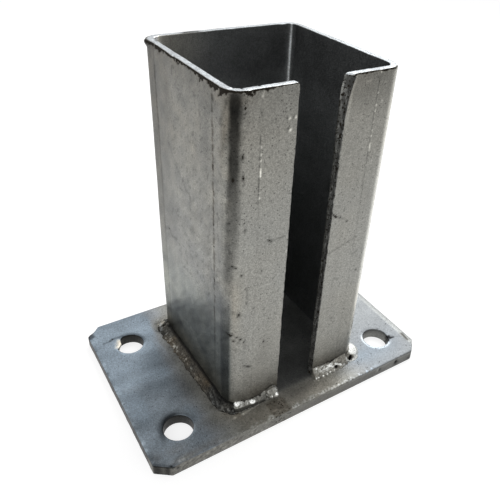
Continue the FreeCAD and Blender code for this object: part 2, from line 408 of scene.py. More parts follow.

# Marks on the outside of the sheet, two of them painted shade: place along it, height, half width, half
# height, how much darker
SHEET_SPOTS = (
    (33, 166.3, 0.9, 1.9, 0.8), (28.3, 167.2, 0.7, 1.8, 0.85), (28.6, 178, 0.7, 1.7, 0.8),
    (27.6, 203.5, 0.7, 0.9, 0.6), (28, 200.6, 0.7, 0.8, 0.6), (27.2, 198.4, 0.7, 0.7, 0.5),
    (28.4, 190, 0.7, 0.9, 0.5), (28.1, 187.2, 0.7, 0.8, 0.5), (28.8, 184.6, 0.6, 0.8, 0.4),
    (28, 163.8, 0.6, 0.8, 0.5), (26.6, 138.6, 0.7, 1.5, 0.65), (27.1, 142.8, 0.7, 0.6, 0.6),
    (28, 111.2, 0.8, 0.8, 0.8), (25.5, 101.5, 0.7, 0.7, 0.6), (32.1, 86.5, 1, 0.7, 0.6),
    (29, 84.3, 1.25, 1.5, 0.82), (32.3, 70, 0.9, 0.7, 0.8), (29.9, 68.4, 1.1, 0.8, 0.75),
    (31.8, 65.7, 0.9, 0.8, 0.9), (27.8, 66.4, 1.1, 0.9, 0.85), (29.2, 64, 0.9, 0.7, 0.6),
    (25.7, 63.3, 0.8, 0.8, 0.7), (30.7, 58.8, 1.2, 0.6, 0.5), (12.4, 57.7, 0.8, 0.9, 0.75),
    (13.4, 82.5, 0.8, 0.8, 0.5), (19.9, 86, 0.9, 0.9, 0.5), (24.6, 91.5, 0.8, 1.6, 0.4),
    (5.9, 192.5, 0.7, 0.8, 0.6), (4.7, 192.3, 0.6, 0.7, -2.4), (2.6, 192.5, 0.7, 0.8, 0.6),
    (1.4, 192.3, 0.6, 0.7, -2.2), (5.3, 187.4, 0.8, 0.8, 0.6), (4.1, 186.4, 0.6, 0.7, -2.4),
    (345.5, 136.5, 1.2, 0.7, 0.3), (338, 125.2, 1, 0.7, 0.6), (341, 133, 0.7, 0.7, 0.3),
    (325, 87, 0.8, 0.8, 0.7), (339, 54, 0.7, 0.8, 0.65), (328, 20, 1.1, 0.8, 0.5),
    (322, 33, 0.7, 1, 0.6), (337.4, 203, 0.7, 0.7, -0.6), (335.6, 203.6, 0.7, 0.7, -0.5),
    (326.4, 192, 0.7, 0.8, -1), (327, 159, 0.8, 0.8, -0.4), (0.3, 118, 0.7, 0.8, -1.2),
    (113, 163, 1.3, 1.1, 0.5), (113.6, 193, 0.9, 3, 0.4), (79.6, 139, 1.3, 0.7, 0.35),
    (75.1, 136.3, 1.2, 1, 0.5), (109, 154.5, 1.4, 1, 0.3), (70.6, 198.5, 1.1, 0.8, 0.35),
    (64, 199, 1.6, 0.7, 0.3), (53.6, 197, 1, 0.8, 0.5), (47.6, 200.5, 1.4, 1.2, 0.5),
    (37.1, 187.5, 2.2, 2, 0.3), (99.6, 158, 1, 0.8, 0.3), (58, 182, 5, 3.5, 0.05),
    (98, 191, 3.5, 6.5, 0.07), (105, 180, 8, 20, 0.07), (66, 163, 5, 7, 0.05), (97, 57, 9, 6, -0.06),
    # (5, 21) and (24, 17) are painted shade at the foot of the front left flange, above its bead
    (98, 192, 5, 9, 0.1), (106, 168, 8, 11, 0.08), (5, 21, 6, 6, 0.22), (24, 17, 7, 4, 0.18),
    (17, 50, 9, 15, -0.05),
)
# Scratches on the outside of the sheet: both ends, half width, how much darker
SHEET_LINES = (
    (33.2, 117.6, 31, 116.3, 0.7, 0.75), (24.5, 101.8, 24.4, 94.5, 0.6, 0.35),
    (35.9, 71, 33.6, 69.6, 0.8, 0.8), (25.5, 44.2, 22.5, 42.4, 0.7, 0.5),
    (22.5, 42.4, 20.9, 41.4, 0.8, 0.7), (12.8, 128.8, 11, 127.2, 0.7, 0.8),
    (11, 127.4, 2.8, 128.2, 0.6, 0.35), (348.7, 132.4, 346.6, 130.4, 0.6, 0.85),
    (346.6, 130.4, 343, 129, 0.6, 0.6), (343, 129, 338, 125.4, 0.6, 0.2),
    (349, 106, 329, 112.3, 0.6, 0.35), (330, 100, 327, 101.5, 0.6, 0.4),
    (341.5, 86.2, 338.5, 84.7, 0.9, 0.3), (99.6, 158, 88, 146.5, 0.9, 0.18),
    (88, 146.5, 79.8, 139.3, 0.9, 0.22), (69.6, 157, 71.2, 133, 0.9, 0.14),
    (113.6, 96.5, 107, 99.6, 1, 0.35), (107, 99.6, 103, 96.2, 0.9, 0.4),
    (103, 96.2, 96, 98.4, 0.9, 0.35), (36, 203, 40.5, 192, 0.9, 0.3), (35.5, 186, 41, 176, 0.9, 0.25),
    (18.9, 206.4, 19.6, 204.6, 0.6, -0.6), (19.6, 204.6, 18.8, 202.8, 0.6, -0.5),
    (25, 66, 24.6, 58, 0.7, 0.15),
)


def sheet_place(distance):
    """Places and outward normals on the sheet's outer face, from its left edge at the slot."""
    return walk((SLOT_LEFT, SLEEVE_LOW[1]), -QUARTER_TURN, SHEET_RUNS, distance)


def sheet_step(distance):
    """Spacing along the sheet: fine at its edges, press marks and the seen side, coarse behind."""
    edge = min(distance, SHEET_LENGTH - distance)
    step = 3.6
    if distance < 36 or distance > 315:
        step = 0.66
    elif distance < 136:
        step = 1.0
    elif min(abs(distance - fold) for fold in (REAR_LEFT_FOLD, REAR_RIGHT_FOLD, RIGHT_FOLD)) < 8:
        step = 1.4
    if min(abs(distance - mark) for mark in PRESS_MARKS) < 1.2:
        step = 0.34
    if abs(distance - REAR_RIGHT_FOLD) < 1.5:
        step = 0.4
    return min(step, max(0.16, 0.4 * edge))


def height_step(height):
    """Spacing up the sheet: fine at its foot and its rim."""
    below_top = TOP - height
    above_foot = height - FOOT
    step = 0.7 if 183 < height < 195 else 0.98
    return min(step, max(0.13, 0.16 * below_top), max(0.25, 0.5 * above_foot))


def thinned(levels, first, last, limit_at):
    """Numbers of the levels that stay when those from first to last are thinned to wider steps."""
    kept = list(range(first + 1))
    while kept[-1] < last:
        following = kept[-1] + 1
        while following < last and levels[following + 1] - levels[kept[-1]] <= limit_at(levels[kept[-1]]):
            following += 1
        kept.append(following)
    return kept + list(range(last + 1, len(levels)))


def thinned_face(numbers, kept, fine):
    """Faces over a lattice whose middle is thinned; fine gives the border left as it is."""
    columns, rows = kept
    faces = []
    for left, right in zip(columns, columns[1:]):
        for low, high in zip(rows, rows[1:]):
            inside = left >= fine[0] and right <= fine[1] and low >= fine[2] and high <= fine[3]
            if inside:
                ring = list(range(left, right + 1)) if low == fine[2] else [left, right]
                face = [numbers[column, low] for column in ring]
                side = list(range(low + 1, high)) if right == fine[1] else []
                face += [numbers[right, row] for row in side]
                ring = list(range(right, left - 1, -1)) if high == fine[3] else [right, left]
                face += [numbers[column, high] for column in ring]
                side = list(range(high - 1, low, -1)) if left == fine[0] else []
                face += [numbers[left, row] for row in side]
                faces.append(face)
                continue
            for column in range(left, right):
                for row in range(low, high):
                    corners = ((column, row), (column + 1, row), (column + 1, row + 1), (column, row + 1))
                    faces.append([numbers[corner] for corner in corners])
    return faces


def inner_limit(distance):
    """The widest step along the sheet's inside."""
    if abs(distance - REAR_RIGHT_FOLD) < 3:
        return 0.9
    if min(abs(distance - fold) for fold in (LEFT_FOLD, REAR_LEFT_FOLD, REAR_RIGHT_FOLD, RIGHT_FOLD)) < 8:
        return 1.7
    return 4.0


def box_surface(levels):
    """The points (as level numbers) and outward faces of a box lattice whose inner side is thinned."""
    counts = [len(level) for level in levels]
    shell = np.zeros(counts, bool)
    for axis in range(3):
        ends = [slice(None)] * 3
        ends[axis] = [0, -1]
        shell[tuple(ends)] = True
    numbers = np.full(counts, -1)
    numbers[shell] = np.arange(shell.sum())
    faces = []
    for axis in range(3):
        for end in (0, -1):
            sheet = np.take(numbers, end, axis=axis)
            outward = (end == -1) == (axis != 1)
            if axis == 1 and end == -1:
                fine = (4, counts[0] - 5, 3, int(np.searchsorted(levels[2], TOP - 4)))
                kept = (
                    thinned(levels[0], fine[0], fine[1], inner_limit),
                    thinned(levels[2], fine[2], fine[3], lambda height: 5.0),
                )
                made = thinned_face(sheet, kept, fine)
                faces += made if outward else [face[::-1] for face in made]
                continue
            quads = np.stack([sheet[:-1, :-1], sheet[1:, :-1], sheet[1:, 1:], sheet[:-1, 1:]], axis=-1)
            quads = quads.reshape(-1, 4)
            faces += (quads if outward else quads[:, ::-1]).tolist()
    used = np.zeros(int(shell.sum()), bool)
    used[np.array([number for face in faces for number in face])] = True
    fresh = np.cumsum(used) - 1
    faces = [[int(fresh[number]) for number in face] for face in faces]
    return np.argwhere(shell)[used], faces


def rounded_edges(points, low, high):
    """Rounds a box's edges, the outer one of the rim more than the others."""
    rim = ramp(points[:, 2], TOP - 3, TOP - 1.2) * ramp(points[:, 1], 2.4, 1.4)
    radius = (EDGE_ROUND + (RIM_ROUND - EDGE_ROUND) * rim)[:, None]
    inner = np.clip(points, low + radius, high - radius)
    away = points - inner
    length = np.linalg.norm(away, axis=1, keepdims=True)
    return inner + radius * away / np.maximum(length, 1e-9)


def rounded_slot_corners(points):
    """Rounds the two top corners of the sheet beside the slot."""
    points = points.copy()
    for end, side in ((0.0, -1), (SHEET_LENGTH, 1)):
        across = (points[:, 0] - end) * side + SLOT_CORNER
        up = points[:, 2] - TOP + SLOT_CORNER
        inside = (across > 0) & (up > 0)
        share = np.maximum(across, up) / np.maximum(np.hypot(across, up), 1e-9)
        points[:, 0] = np.where(inside, end + side * (across * share - SLOT_CORNER), points[:, 0])
        points[:, 2] = np.where(inside, TOP + up * share - SLOT_CORNER, points[:, 2])
    return points


def rim_flaking(along, depth, height):
    """How much black shows where zinc has flaked off just below the rim."""
    ragged = layered(np.stack([along, height, 0 * along], -1), 1.3, 5, 2)
    reach = np.interp(along, FLAKED_ALONG, FLAKED_DEPTH) * (0.6 + 0.9 * ragged) + 0.1
    below = TOP - 0.2 - height
    flaked = ramp(below, reach + 0.3, reach - 0.3) * ramp(below, -0.1, 0.1) * ramp(depth, 1.0, 0.6)
    return np.minimum(1, 1.6 * flaked)


def shape_sheet(along, depth, height):
    """How far each point of the sheet is pushed out, along, and up by working and wear."""
    flat = np.stack([along, depth, height], -1)
    outer_share = 1 - depth / WALL
    bulge = 0.16 * layered(flat, 48, 11, 2) + 0.035 * noise(flat, 9, 12) + 0.016 * noise(flat, 2.3, 13)
    for mark in PRESS_MARKS:
        bulge -= 0.15 * hill(along, mark, 0.55) * (0.7 + 0.3 * noise(flat, 12, 14)) * outer_share
    bulge -= 0.5 * spot(along, height, (29.2, 84.5), (1.1, 1.3)) * outer_share
    bulge -= 0.35 * rim_flaking(along, depth, height) * outer_share
    lip = ramp(height, 206.0, 207.7) * (outer_share - 0.3)
    bulge += lip * (0.05 + 0.1 * noise(flat, 4.5, 15))
    bulge += 1.3 * hill(along, RIM_BURR, 4.5) * ramp(height, 203.4, 206.5) * outer_share

    rim = ramp(height, 205.2, 207.9)
    drop = 0.08 + 0.1 * noise(flat, 6, 16) + 0.06 * noise(flat, 1.7, 17)
    drop += 0.3 * ramp(noise(flat, 3.2, 18), 0.6, 0.9)
    drop += 0.6 * hill(along, SHEET_LENGTH, 1.0)
    up = -rim * np.clip(drop, 0, 1.6)

    torn = 0.22 + 0.2 * noise(flat * (1, 1, 0.5), 1.5, 19) + 0.15 * noise(flat, 7, 20)
    side = ramp(along, 1.2, 0.0) - ramp(along, SHEET_LENGTH - 1.2, SHEET_LENGTH)
    side *= 0.3 + 0.7 * outer_share
    slanted = np.interp(height, SLANT_HEIGHTS, SLANT_WIDTHS) * outer_share
    slanted *= np.clip((along - SHEET_LENGTH + 9) / 9, 0, 1) ** 1.5
    burr = ramp(along, SHEET_LENGTH - 1.2, SHEET_LENGTH) * ramp(depth, 1.5, 3.6) * ramp(height, 206.5, 200)
    burr *= 0.5 + 0.6 * ramp(height, 150, 190) + 0.3 * noise(flat * (1, 1, 0.5), 6, 21)
    return bulge, side * np.clip(torn, 0, 0.7) - slanted + burr, up


def side_wall_shade(flat, blotch, mottle, strokes):
    """Tone and tint of the side walls: light above, and a dark, bluish painted shade towards the foot."""
    along, _, height = flat.T
    edge = np.interp(along, DARK_ALONG, DARK_BELOW)
    soft = np.interp(along, (50, 70, 90, 105, 122, 136), (7, 6, 3.2, 1.8, 1.8, 11))
    # The painted shade over the lower wall, standing in for the plate's reflection
    foot_shade = ramp(height + 3 * blotch + 2 * mottle, edge + 0.7 * soft, edge - soft)
    upper = np.interp(height, (60, 110, 150, 190, 206), (1.1, 1.08, 1.0, 0.92, 0.82))
    stroked = 0.08 + 0.16 * spot(height, along, (122, 62), (24, 22))
    upper *= 1 + 0.27 * mottle + 0.12 * blotch + 1.7 * stroked * strokes
    upper *= 1 - 0.19 * ramp(along, 86, 106) * ramp(height, 60, 120)
    upper *= 1 - 0.14 * ramp(height, 192, 206)
    upper *= 1 - 0.05 * between(along, 38, 46, 54, 66)
    dots = ramp(noise(flat * (1, 0, 1), 1.15, 47), 0.5, 0.75)
    upper *= 1 - 0.36 * dots * ramp(height, 60, 90) * ramp(along, 108, 90)
    upper *= 1 + 0.07 * ramp(along, 56, 46) - 0.04 * ramp(along, 78, 92)
    upper *= 1 + 0.05 * ramp(height, 115, 80)
    lower = np.interp(edge - height, (0, 8, 25, 45, 70), (0.76, 0.63, 0.58, 0.50, 0.42))
    # Darkest in a painted shadow just above the bead
    lower *= np.interp(height, (13, 17, 23), (0.42, 0.72, 1.0)) * (1 + 0.28 * mottle + 0.30 * strokes)
    lower *= 1 + 0.25 * between(along, 40.5, 42, 45.5, 47) * between(height, 24, 34, 70, 92)
    lower *= 1 - 0.25 * hill(along, 60, 9) * ramp(height, 42, 20)
    tint = np.interp(height, (70, 110, 190, 206), (0.15, 0.6, 0.95, 1.2)) + 0.45 * mottle
    tint = mixed(tint, -0.2 + 0.5 * mottle + 1.4 * ramp(height, 36, 18), foot_shade)
    return mixed(upper, mixed(lower, 0.72, ramp(along, 124, 136)), foot_shade), tint


def shade_left_fold(flat, strokes):
    """The painted dark reflection down the front left bend, with a brown stain: its shade and its change of
    tint.
    """
    along, _, height = flat.T
    wall_side = np.interp(height, BAND_HEIGHTS, BAND_WALL_SIDE)
    front_side = np.interp(height, BAND_HEIGHTS, BAND_FRONT_SIDE)
    fringe = 0.8 * layered(flat * (1, 1, 0.5), 2.6, 34, 2)
    band = ramp(along - 0.5 * fringe, wall_side + 1.5, wall_side - 1.3)
    band *= ramp(along + fringe, front_side - 2.1, front_side + 1.9)
    band *= 0.985 * np.interp(height, BAND_HEIGHTS, BAND_DEPTH) * (1 + 0.1 * noise(flat * (1, 1, 0.3), 4, 43))
    below = between(along, 33.4, 34.8, 39, 42) * ramp(height, 100, 84)
    below *= np.interp(height, (8, 60, 92), (0.55, 0.5, 0.1))
    brown = spot(along + 0.14 * (height - 188), height, (37.8, 188), (2.0, 12))
    brown += 0.9 * spot(along, height, (31, 204), (6, 3.0))
    shade = np.clip(1 - band, 0.06, 1) * (1 - below) * (1 - 0.2 * brown * (1 + 1.2 * strokes))
    return shade, 0.5 * brown - 0.9 * below


def shade_press_marks(flat):
    """Dark dashes along the press marks and bright ones beside two: shade, change of tint, and flaking."""
    along, _, height = flat.T
    upright = flat * (0, 0, 1)
    beat = noise(upright, 1.5, 36)
    quick_beat = noise(upright, 1.0, 50) + 0.4 * noise(upright, 5.0, 51)
    place = along + 0.5 * noise(upright, 2.6, 45)
    dashed = 1.8 * hill(place, PRESS_MARKS[1], 0.8) * ramp(quick_beat, -0.6, 0.3)
    dashed *= np.interp(height, (40, 62, 95, 110), (0.0, 0.5, 0.75, 1.0))
    dashed += 0.9 * hill(place, PRESS_MARKS[2], 0.9) * ramp(beat, -0.3, 0.6) * ramp(height, 146, 156)
    shade = 1 - 0.5 * np.minimum(dashed, 1.2)
    for mark in PRESS_MARKS:
        shade *= 1 - 0.08 * hill(along, mark, 0.6)
    shade *= 1 + 0.22 * hill(along, PRESS_MARKS[1] - 1.1, 0.7) * between(height, 26, 40, 66, 84)
    lights = hill(along, 19.1, DASH_WIDTH) * between(height, 152, 156, 184, 188)
    lights += 0.6 * hill(along, 329.7, DASH_WIDTH) * ramp(height, 154, 160)
    shade *= 1 + lights * (2.4 * ramp(beat, 0.1, 0.6) + 0.1)
    shadows = hill(along, 19.9, 0.4) * between(height, 148, 154, 184, 190)
    shadows += 0.7 * hill(along, 330.3, DASH_WIDTH) * ramp(height, 120, 150)
    shade *= 1 - 0.6 * shadows * ramp(beat, 0.3, -0.5)
    return shade, 0.6 * dashed, 0.45 * dashed * ramp(beat, 0.0, 0.7)


def paint_inside(along, height, blotch, streak):
    """Tone and tint of the sheet's inside, lighter by the rim at the rear left as painted light, with painted
    highlights in two corners.
    """
    near_left = between(along, 120, 134, 138, 172)
    tone = 0.34 + 0.05 * blotch + 0.34 * ramp(height, 176, 205) * near_left * (1 + 0.3 * blotch)
    # Painted highlights down the inner rear right corner and under the rim at the inner rear left corner
    tone += 2.3 * hill(along, REAR_RIGHT_FOLD, 0.9) * ramp(height, 150, 180) * (0.9 + 0.8 * streak)
    tone += 5.0 * hill(along, REAR_LEFT_FOLD + 1.5, 4.2) * ramp(height, 199.5, 203.5) * (1 + 0.3 * streak)
    tone *= np.interp(height, INSIDE_HEIGHTS, INSIDE_TONES)
    return tone, -0.5 + 1.6 * ramp(height, 160, 200) * near_left


def paint_outside(flat, front, blotch, mottle, streak):
    """Tone, tint, roughness, speck density and flaking of the sheet's outside."""
    along, _, height = flat.T
    rising = np.stack([(height - along) * 0.16, 0 * along, (height + along) * 0.7], -1)
    strokes = layered(rising, 2.4, 42, 2)
    side_tone, side_tint = side_wall_shade(flat, blotch, mottle, strokes)
    tone = mixed(side_tone, np.interp(height, FRONT_HEIGHTS, FRONT_TONES), front)
    tint = mixed(side_tint, np.interp(height, (8, 25, 80, 150, 206), (1.4, 0.9, 0.6, 0.75, 1.0)), front)
    tone *= 1 + 0.05 * blotch + 0.03 * streak
    tone *= 1 + 0.06 * front * ramp(along, 200, 320) * ramp(height, 60, 20)

    fold_shade, fold_tint = shade_left_fold(flat, strokes)
    pressed, pressed_tint, flaking = shade_press_marks(flat)
    worn = marked(along, height, SHEET_SPOTS, SHEET_LINES)
    # A painted highlight down the front right bend
    bend_highlight = between(along, 306, 311, 318.5, 322.6)
    rear_strip = between(along, 111.8, 113.4, 128, 140)
    crescent = ramp(spot(along, height, (11.0, 49), (8.5, 11.0)), 0.36, 0.62)
    tone *= fold_shade * pressed * worn * (1 + 1.5 * bend_highlight)
    tone *= 1 - rear_strip * np.interp(height, (30, 90, 130, 208), (0.0, 0.14, 0.24, 0.28))
    tone *= 1 - 0.2 * hill(along, 112.4, 0.9) * ramp(height, 60, 120)
    tone *= 1 - 0.55 * scratch(along, height, (118, 12), (98, 30), 3.2)
    tone *= 1 - 0.085 * crescent * ramp(along, 3, 12)
    tint += 0.35 * layered(flat, 34, 33) + fold_tint + pressed_tint + 0.3 * rear_strip
    tint += 0.7 * spot(along, height, (32, 84), (5, 26))

    crud = 0.35 + 0.3 * blotch + 0.2 * mottle + 0.3 * front
    crud += 0.9 * (1 - front) * ramp(along, 104, 84) * between(height, 80, 105, 192, 206)
    crud += 0.5 * hill(along, 28.3, 2.2) * ramp(height, 118, 135)
    crud += 0.7 * spot(along, height, (30, 66), (4, 6))
    flaking += 0.42 * hill(along, 27.8, 1.2) * ramp(height, 180, 190) + 0.85 * ramp(worn, 0.6, 0.35)
    return tone, tint, 0.43 + 0.03 * blotch - 0.12 * bend_highlight, np.clip(crud, 0.05, 1), flaking


def torn_face_tone(flat, depth):
    """Tone of the sheet's two cut faces in the slot, with a painted highlight along their inner edge near the
    top.
    """
    height = flat[:, 2]
    tone = 0.9 + 0.5 * layered(flat * (1, 1, 0.35), 2.0, 38)
    tone += 1.6 * ramp(noise(flat * (1, 1, 0.5), 1.3, 39), 0.25, 0.7)
    tone *= np.interp(height, (8, 100, 130, 165, 190, 204), (0.6, 0.5, 0.52, 0.56, 0.38, 0.25))
    return np.clip(tone * (1 + 1.6 * hill(depth, 3.7, 0.35) * ramp(height, 192, 198)), 0.2, 3)


def paint_sheet(along, depth, height):
    """Colours and skin of the sheet at each point."""
    flat = np.stack([along, depth * 3, height], -1)
    blotch = layered(flat, 26, 31)
    mottle = layered(flat, 7, 32)
    streak = layered(flat * (1, 1, 0.1), 3.2, 40, 2)
    front = ramp(along, 35.0, 32.0) + ramp(along, 311.5, 315.5)
    tone, tint, rough, crud, flaking = paint_outside(flat, front, blotch, mottle, streak)
    inside = ramp(depth, 1.7, 2.3)
    inner_tone, inner_tint = paint_inside(along, height, blotch, streak)
    tone = mixed(tone, inner_tone, inside)
    tint = mixed(tint, inner_tint, inside)
    rough += 0.08 * inside
    crud *= 1 - inside
    flaking *= 1 - inside

    rim = ramp(height, TOP - 0.55, TOP - 0.3) * between(depth, 0.42, 0.8, 3.5, 3.9)
    burr = hill(along, RIM_BURR, 5.5) * ramp(height, 203.0, 204.5)
    rim *= 1 - ramp(burr, 0.3, 0.6) * ramp(depth, 1.6, 0.8)
    # The rim's top is bare cut metal, painted lighter and bluer as a painted reflection
    rim_sheen = 2.1 - 0.15 * between(along, 124, 134, 306, 312) + 0.6 * layered(flat, 3.0, 37)
    tone = mixed(tone, rim_sheen, rim)
    chipped = ramp(hill(along, 153.5, 4.5), 0.2, 0.5) * ramp(noise(flat, 1.5, 48), -0.3, 0.0)
    tone *= (1 - 0.95 * chipped * rim) * (1 - 0.75 * burr * ramp(depth, 1.4, 0.6))
    flaked = rim_flaking(along, depth, height)
    tone *= 1 - (0.9 + 0.12 * noise(flat, 1.1, 49)) * flaked * (1 - rim)
    tint = mixed(tint + 1.2 * flaked * (1 - rim), -0.9, rim)
    rough = mixed(rough, 0.38, rim)
    rim_specks = 0.5 * hill(along, 150.5, 4.5) + 0.3 * ramp(noise(flat, 9, 44), 0.4, 0.8)
    flaking = mixed(np.maximum(flaking, flaked), rim_specks, rim)

    right_end = ramp(along, SHEET_LENGTH - 0.6, SHEET_LENGTH - 0.25)
    cut = np.maximum(ramp(along, 0.6, 0.25), right_end) * (1 - rim)
    tone = mixed(tone, torn_face_tone(flat, depth), cut)
    tint = mixed(tint, 0.3, cut)
    rough = mixed(rough, 0.55, cut)
    flaking += 0.5 * cut * (1 - rim)
    crud = mixed(crud, 1, ramp(along, SHEET_LENGTH - 0.6, SHEET_LENGTH - 0.3) * ramp(depth, 3.9, 3.6))
    lit = hill(along, SHEET_LENGTH - 1.6, 1.2) * ramp(height, 176, 194) * ramp(depth, 1.2, 0.5)
    tone *= 1 + 0.5 * lit * (1 - cut)
    tone *= 1 - 0.12 * ramp(along, 312, 320) * ramp(height, 184, 200) * (1 - rim) * (1 - inside)
    colours = steel_colour(SHEET_GREY * tone, tint)
    # Greener low on the side walls, in their painted shade
    colours[:, 1] *= 1 + 0.03 * (1 - front) * ramp(height, 95, 60) * (1 - inside)
    return colours, (rough, crud, np.clip(flaking, 0, 1))


def make_sleeve(material):
    """The folded sheet, laid out flat with its wear and then walked round its folds."""
    levels = (
        walked_levels(0.0, SHEET_LENGTH, sheet_step),
        np.array([0, 0.12, 0.28, 0.52, 0.9, 1.5, 2.1, 2.8, WALL - EDGE_ROUND, 3.8, WALL]),
        walked_levels(FOOT, TOP, height_step),
    )
    cells, faces = box_surface(levels)
    points = np.stack([levels[axis][cells[:, axis]] for axis in range(3)], axis=-1)
    low = np.array([0.0, 0.0, FOOT])
    high = np.array([SHEET_LENGTH, WALL, TOP])
    points = rounded_slot_corners(rounded_edges(points, low, high))
    along, depth, height = points.T
    bulge, shift, rise = shape_sheet(along, depth, height)
    places, normals = sheet_place(np.clip(along, 0, SHEET_LENGTH))
    ahead = np.stack([normals[:, 1], -normals[:, 0]], axis=-1)
    flat = places + normals * (bulge - depth)[:, None] + ahead * shift[:, None]
    solid = np.column_stack([flat, height + rise])
    colours, skin = paint_sheet(along, depth, height)
    faces = [face[::-1] for face in faces]
    new_piece("folded_sleeve", solid, faces, colours, skin, material, "post_sleeve")


# The drilled plate

CORNER_ROUND = 1.2
# The front left corner is clipped this much further forward than the others
CLIP_SHIFT = 2.4
ARRIS = 0.8
PLATE_GREY = 0.30
# Spacing of the points on the plate's top: where it is seen, under the sleeve, and at its crusts
POINT_PITCH = 1.1
HIDDEN_PITCH = 3.5
FINE_PITCH = 0.8
CLIP_TRIM = CORNER_ROUND * math.tan(math.pi / 8)
FRONT_RUN = PLATE_HIGH[0] - PLATE_LOW[0] - 2 * CORNER_CLIP - 2 * CLIP_TRIM
SIDE_RUN = PLATE_HIGH[1] - PLATE_LOW[1] - 2 * CORNER_CLIP - 2 * CLIP_TRIM
CLIP_RUN = CORNER_CLIP * math.sqrt(2) - 2 * CLIP_TRIM
CLIP_TURN = math.pi / 4
CORNER_RUN = CORNER_ROUND * CLIP_TURN
PLATE_RUNS = []
for straight in (FRONT_RUN, SIDE_RUN, FRONT_RUN, SIDE_RUN):
    PLATE_RUNS += [(straight, 0), (CORNER_RUN, CLIP_TURN), (CLIP_RUN, 0), (CORNER_RUN, CLIP_TURN)]
# Profile of the plate's edge from its top face to its underside, as inset and depth below the top
EDGE_PROFILE = [(0.8, 0.0), (0.49, 0.06), (0.23, 0.23), (0.06, 0.49), (0.0, 0.8), (0.0, 1.7), (0.0, 2.7),
                (0.0, 3.7), (0.0, 4.7), (0.0, 5.7), (0.0, 6.6), (0.0, 7.3), (0.2, 7.8), (0.7, 8.0)]
# Patches on the plate's top: place, half width, half length, how much darker, how much browner
PLATE_PATCHES = (
    (-71, 17, 10, 6, 0.22, -0.1), (-76, -6, 10, 6, 0.17, -0.2), (-92.5, -16, 4.5, 12, -0.14, -0.6),
    (-64, -33, 9, 14, 0.2, 0.1), (-59.5, 46, 3.5, 10, -0.2, -1.2), (-50, 58, 5, 6, -0.06, -0.4),
    (-59.5, 21, 1.2, 9, -0.2, -0.4), (-70, -62, 20, 3.2, 0.1, 0.7), (-51, 43, 5.5, 6, 0.6, 1),
    (-97, 10, 2, 30, -0.1, -0.3), (-96.5, -54, 3, 4, 0.3, 0.4), (10, -59, 14, 4, -0.14, 0.1),
    (37, -57, 10, 6, 0.14, -0.5), (50, -52, 9, 7, 0.16, -0.7), (70, -50, 20, 12, -0.04, -0.6),
    (-2, -53, 9, 6, 0.3, 0), (-60, -38, 8, 8, 0.16, 0), (-66, 60, 14, 4, 0.06, 0.2),
    (-85, 27, 6, 4, 0.12, -0.1), (-62, 2, 6, 5, 0.12, -0.2), (-82, -62.6, 5.5, 2, 0.1, 1.2),
    (-80, 5, 12, 3, -0.08, -0.4), (-84, -55, 7, 3, 0.05, 0.5), (60, -20, 8, 14, 0.05, 0.1),
)
# Small marks on the plate's top: place, half width, half length, how much darker
PLATE_SPOTS = (
    (-45, -52.9, 1, 0.7, -1.3), (-39.3, -52.9, 0.8, 0.7, -1.3), (-41.9, -50.5, 1.1, 0.9, 0.9),
    (-2.9, -45.2, 0.8, 0.8, 0.7), (-36.7, -58.5, 0.7, 0.7, 0.6), (-83.4, 40.4, 2.4, 3, -0.8),
    (85.8, -45.6, 1.9, 1.7, 0.72), (88, -47.2, 1.3, 1, 0.5), (-47.4, -30, 1.2, 1.2, 0.7),
    (-51.1, -31.9, 1, 1, 0.7), (-52.3, -19, 0.9, 1, 0.5), (-51.2, -41, 0.9, 1.1, 0.7),
    (-53.7, -38.8, 0.8, 0.8, 0.6), (-52.8, -8, 0.8, 1, 0.4), (-54, 2, 0.8, 0.9, 0.4),
    (-55.2, 21, 0.8, 1, 0.4), (-99.2, -46.5, 0.7, 0.7, -1), (14.6, -52.9, 0.6, 0.7, -0.9),
    (17.2, -53.9, 0.6, 0.7, -0.9), (21.9, -53.6, 0.6, 0.8, -0.8), (26.1, -53.5, 0.6, 0.7, -0.8),
    (28.1, -53.9, 0.6, 0.7, -0.8), (31, -52.9, 0.7, 0.7, -0.8), (36, -54.6, 0.7, 0.6, 0.4),
    (-85.3, -63.4, 0.7, 0.7, -1), (-83.1, -63.4, 0.8, 0.8, -1.5), (-80.5, -63.8, 0.6, 0.6, -0.8),
    (-91.2, -63.9, 1, 0.9, 0.93), (-49.6, 48.6, 1.6, 1.2, -0.4), (-50.9, 51.6, 1.3, 1, -0.3),
    (50.4, -54.2, 0.8, 0.7, 0.5), (44, -57, 0.7, 0.7, 0.3), (6, -58, 0.7, 0.6, 0.3),
)
# Fine lines on the plate's top: both ends, half width, how much darker
PLATE_LINES = (
    (-38.6, -52.9, -28, -51.5, 0.5, -0.9), (-92.7, 46.2, -88.2, 46.6, 0.8, 0.5),
    (-88.2, 46.6, -86, 47.6, 0.8, 0.6), (-86, 47.6, -79, 47.8, 0.9, 0.5),
    (-89.4, -64, -86.4, -60.9, 0.6, 0.32), (-86.4, -60.9, -83.1, -59.8, 0.6, 0.26),
    (-83.1, -59.8, -75, -62.8, 0.6, 0.16), (-55.4, 48, -51.4, 47, 0.6, 0.45),
    (-56.6, 40.8, -53.6, 35.8, 0.9, 0.5), (88.3, -46.2, 94.7, -49.8, 0.7, 0.16),
    (-90, -30, -84, -26, 0.7, 0.1), (-70, -20, -61, -22.5, 0.7, 0.1),
)
# How light the plate's front face is along its length
FRONT_FACE_PLACES = (-90, -64, -40, -16, 8, 32, 56, 70, 80, 90)
FRONT_FACE_TONES = (0.72, 0.86, 0.90, 0.80, 0.64, 0.62, 0.60, 0.7, 0.64, 0.52)
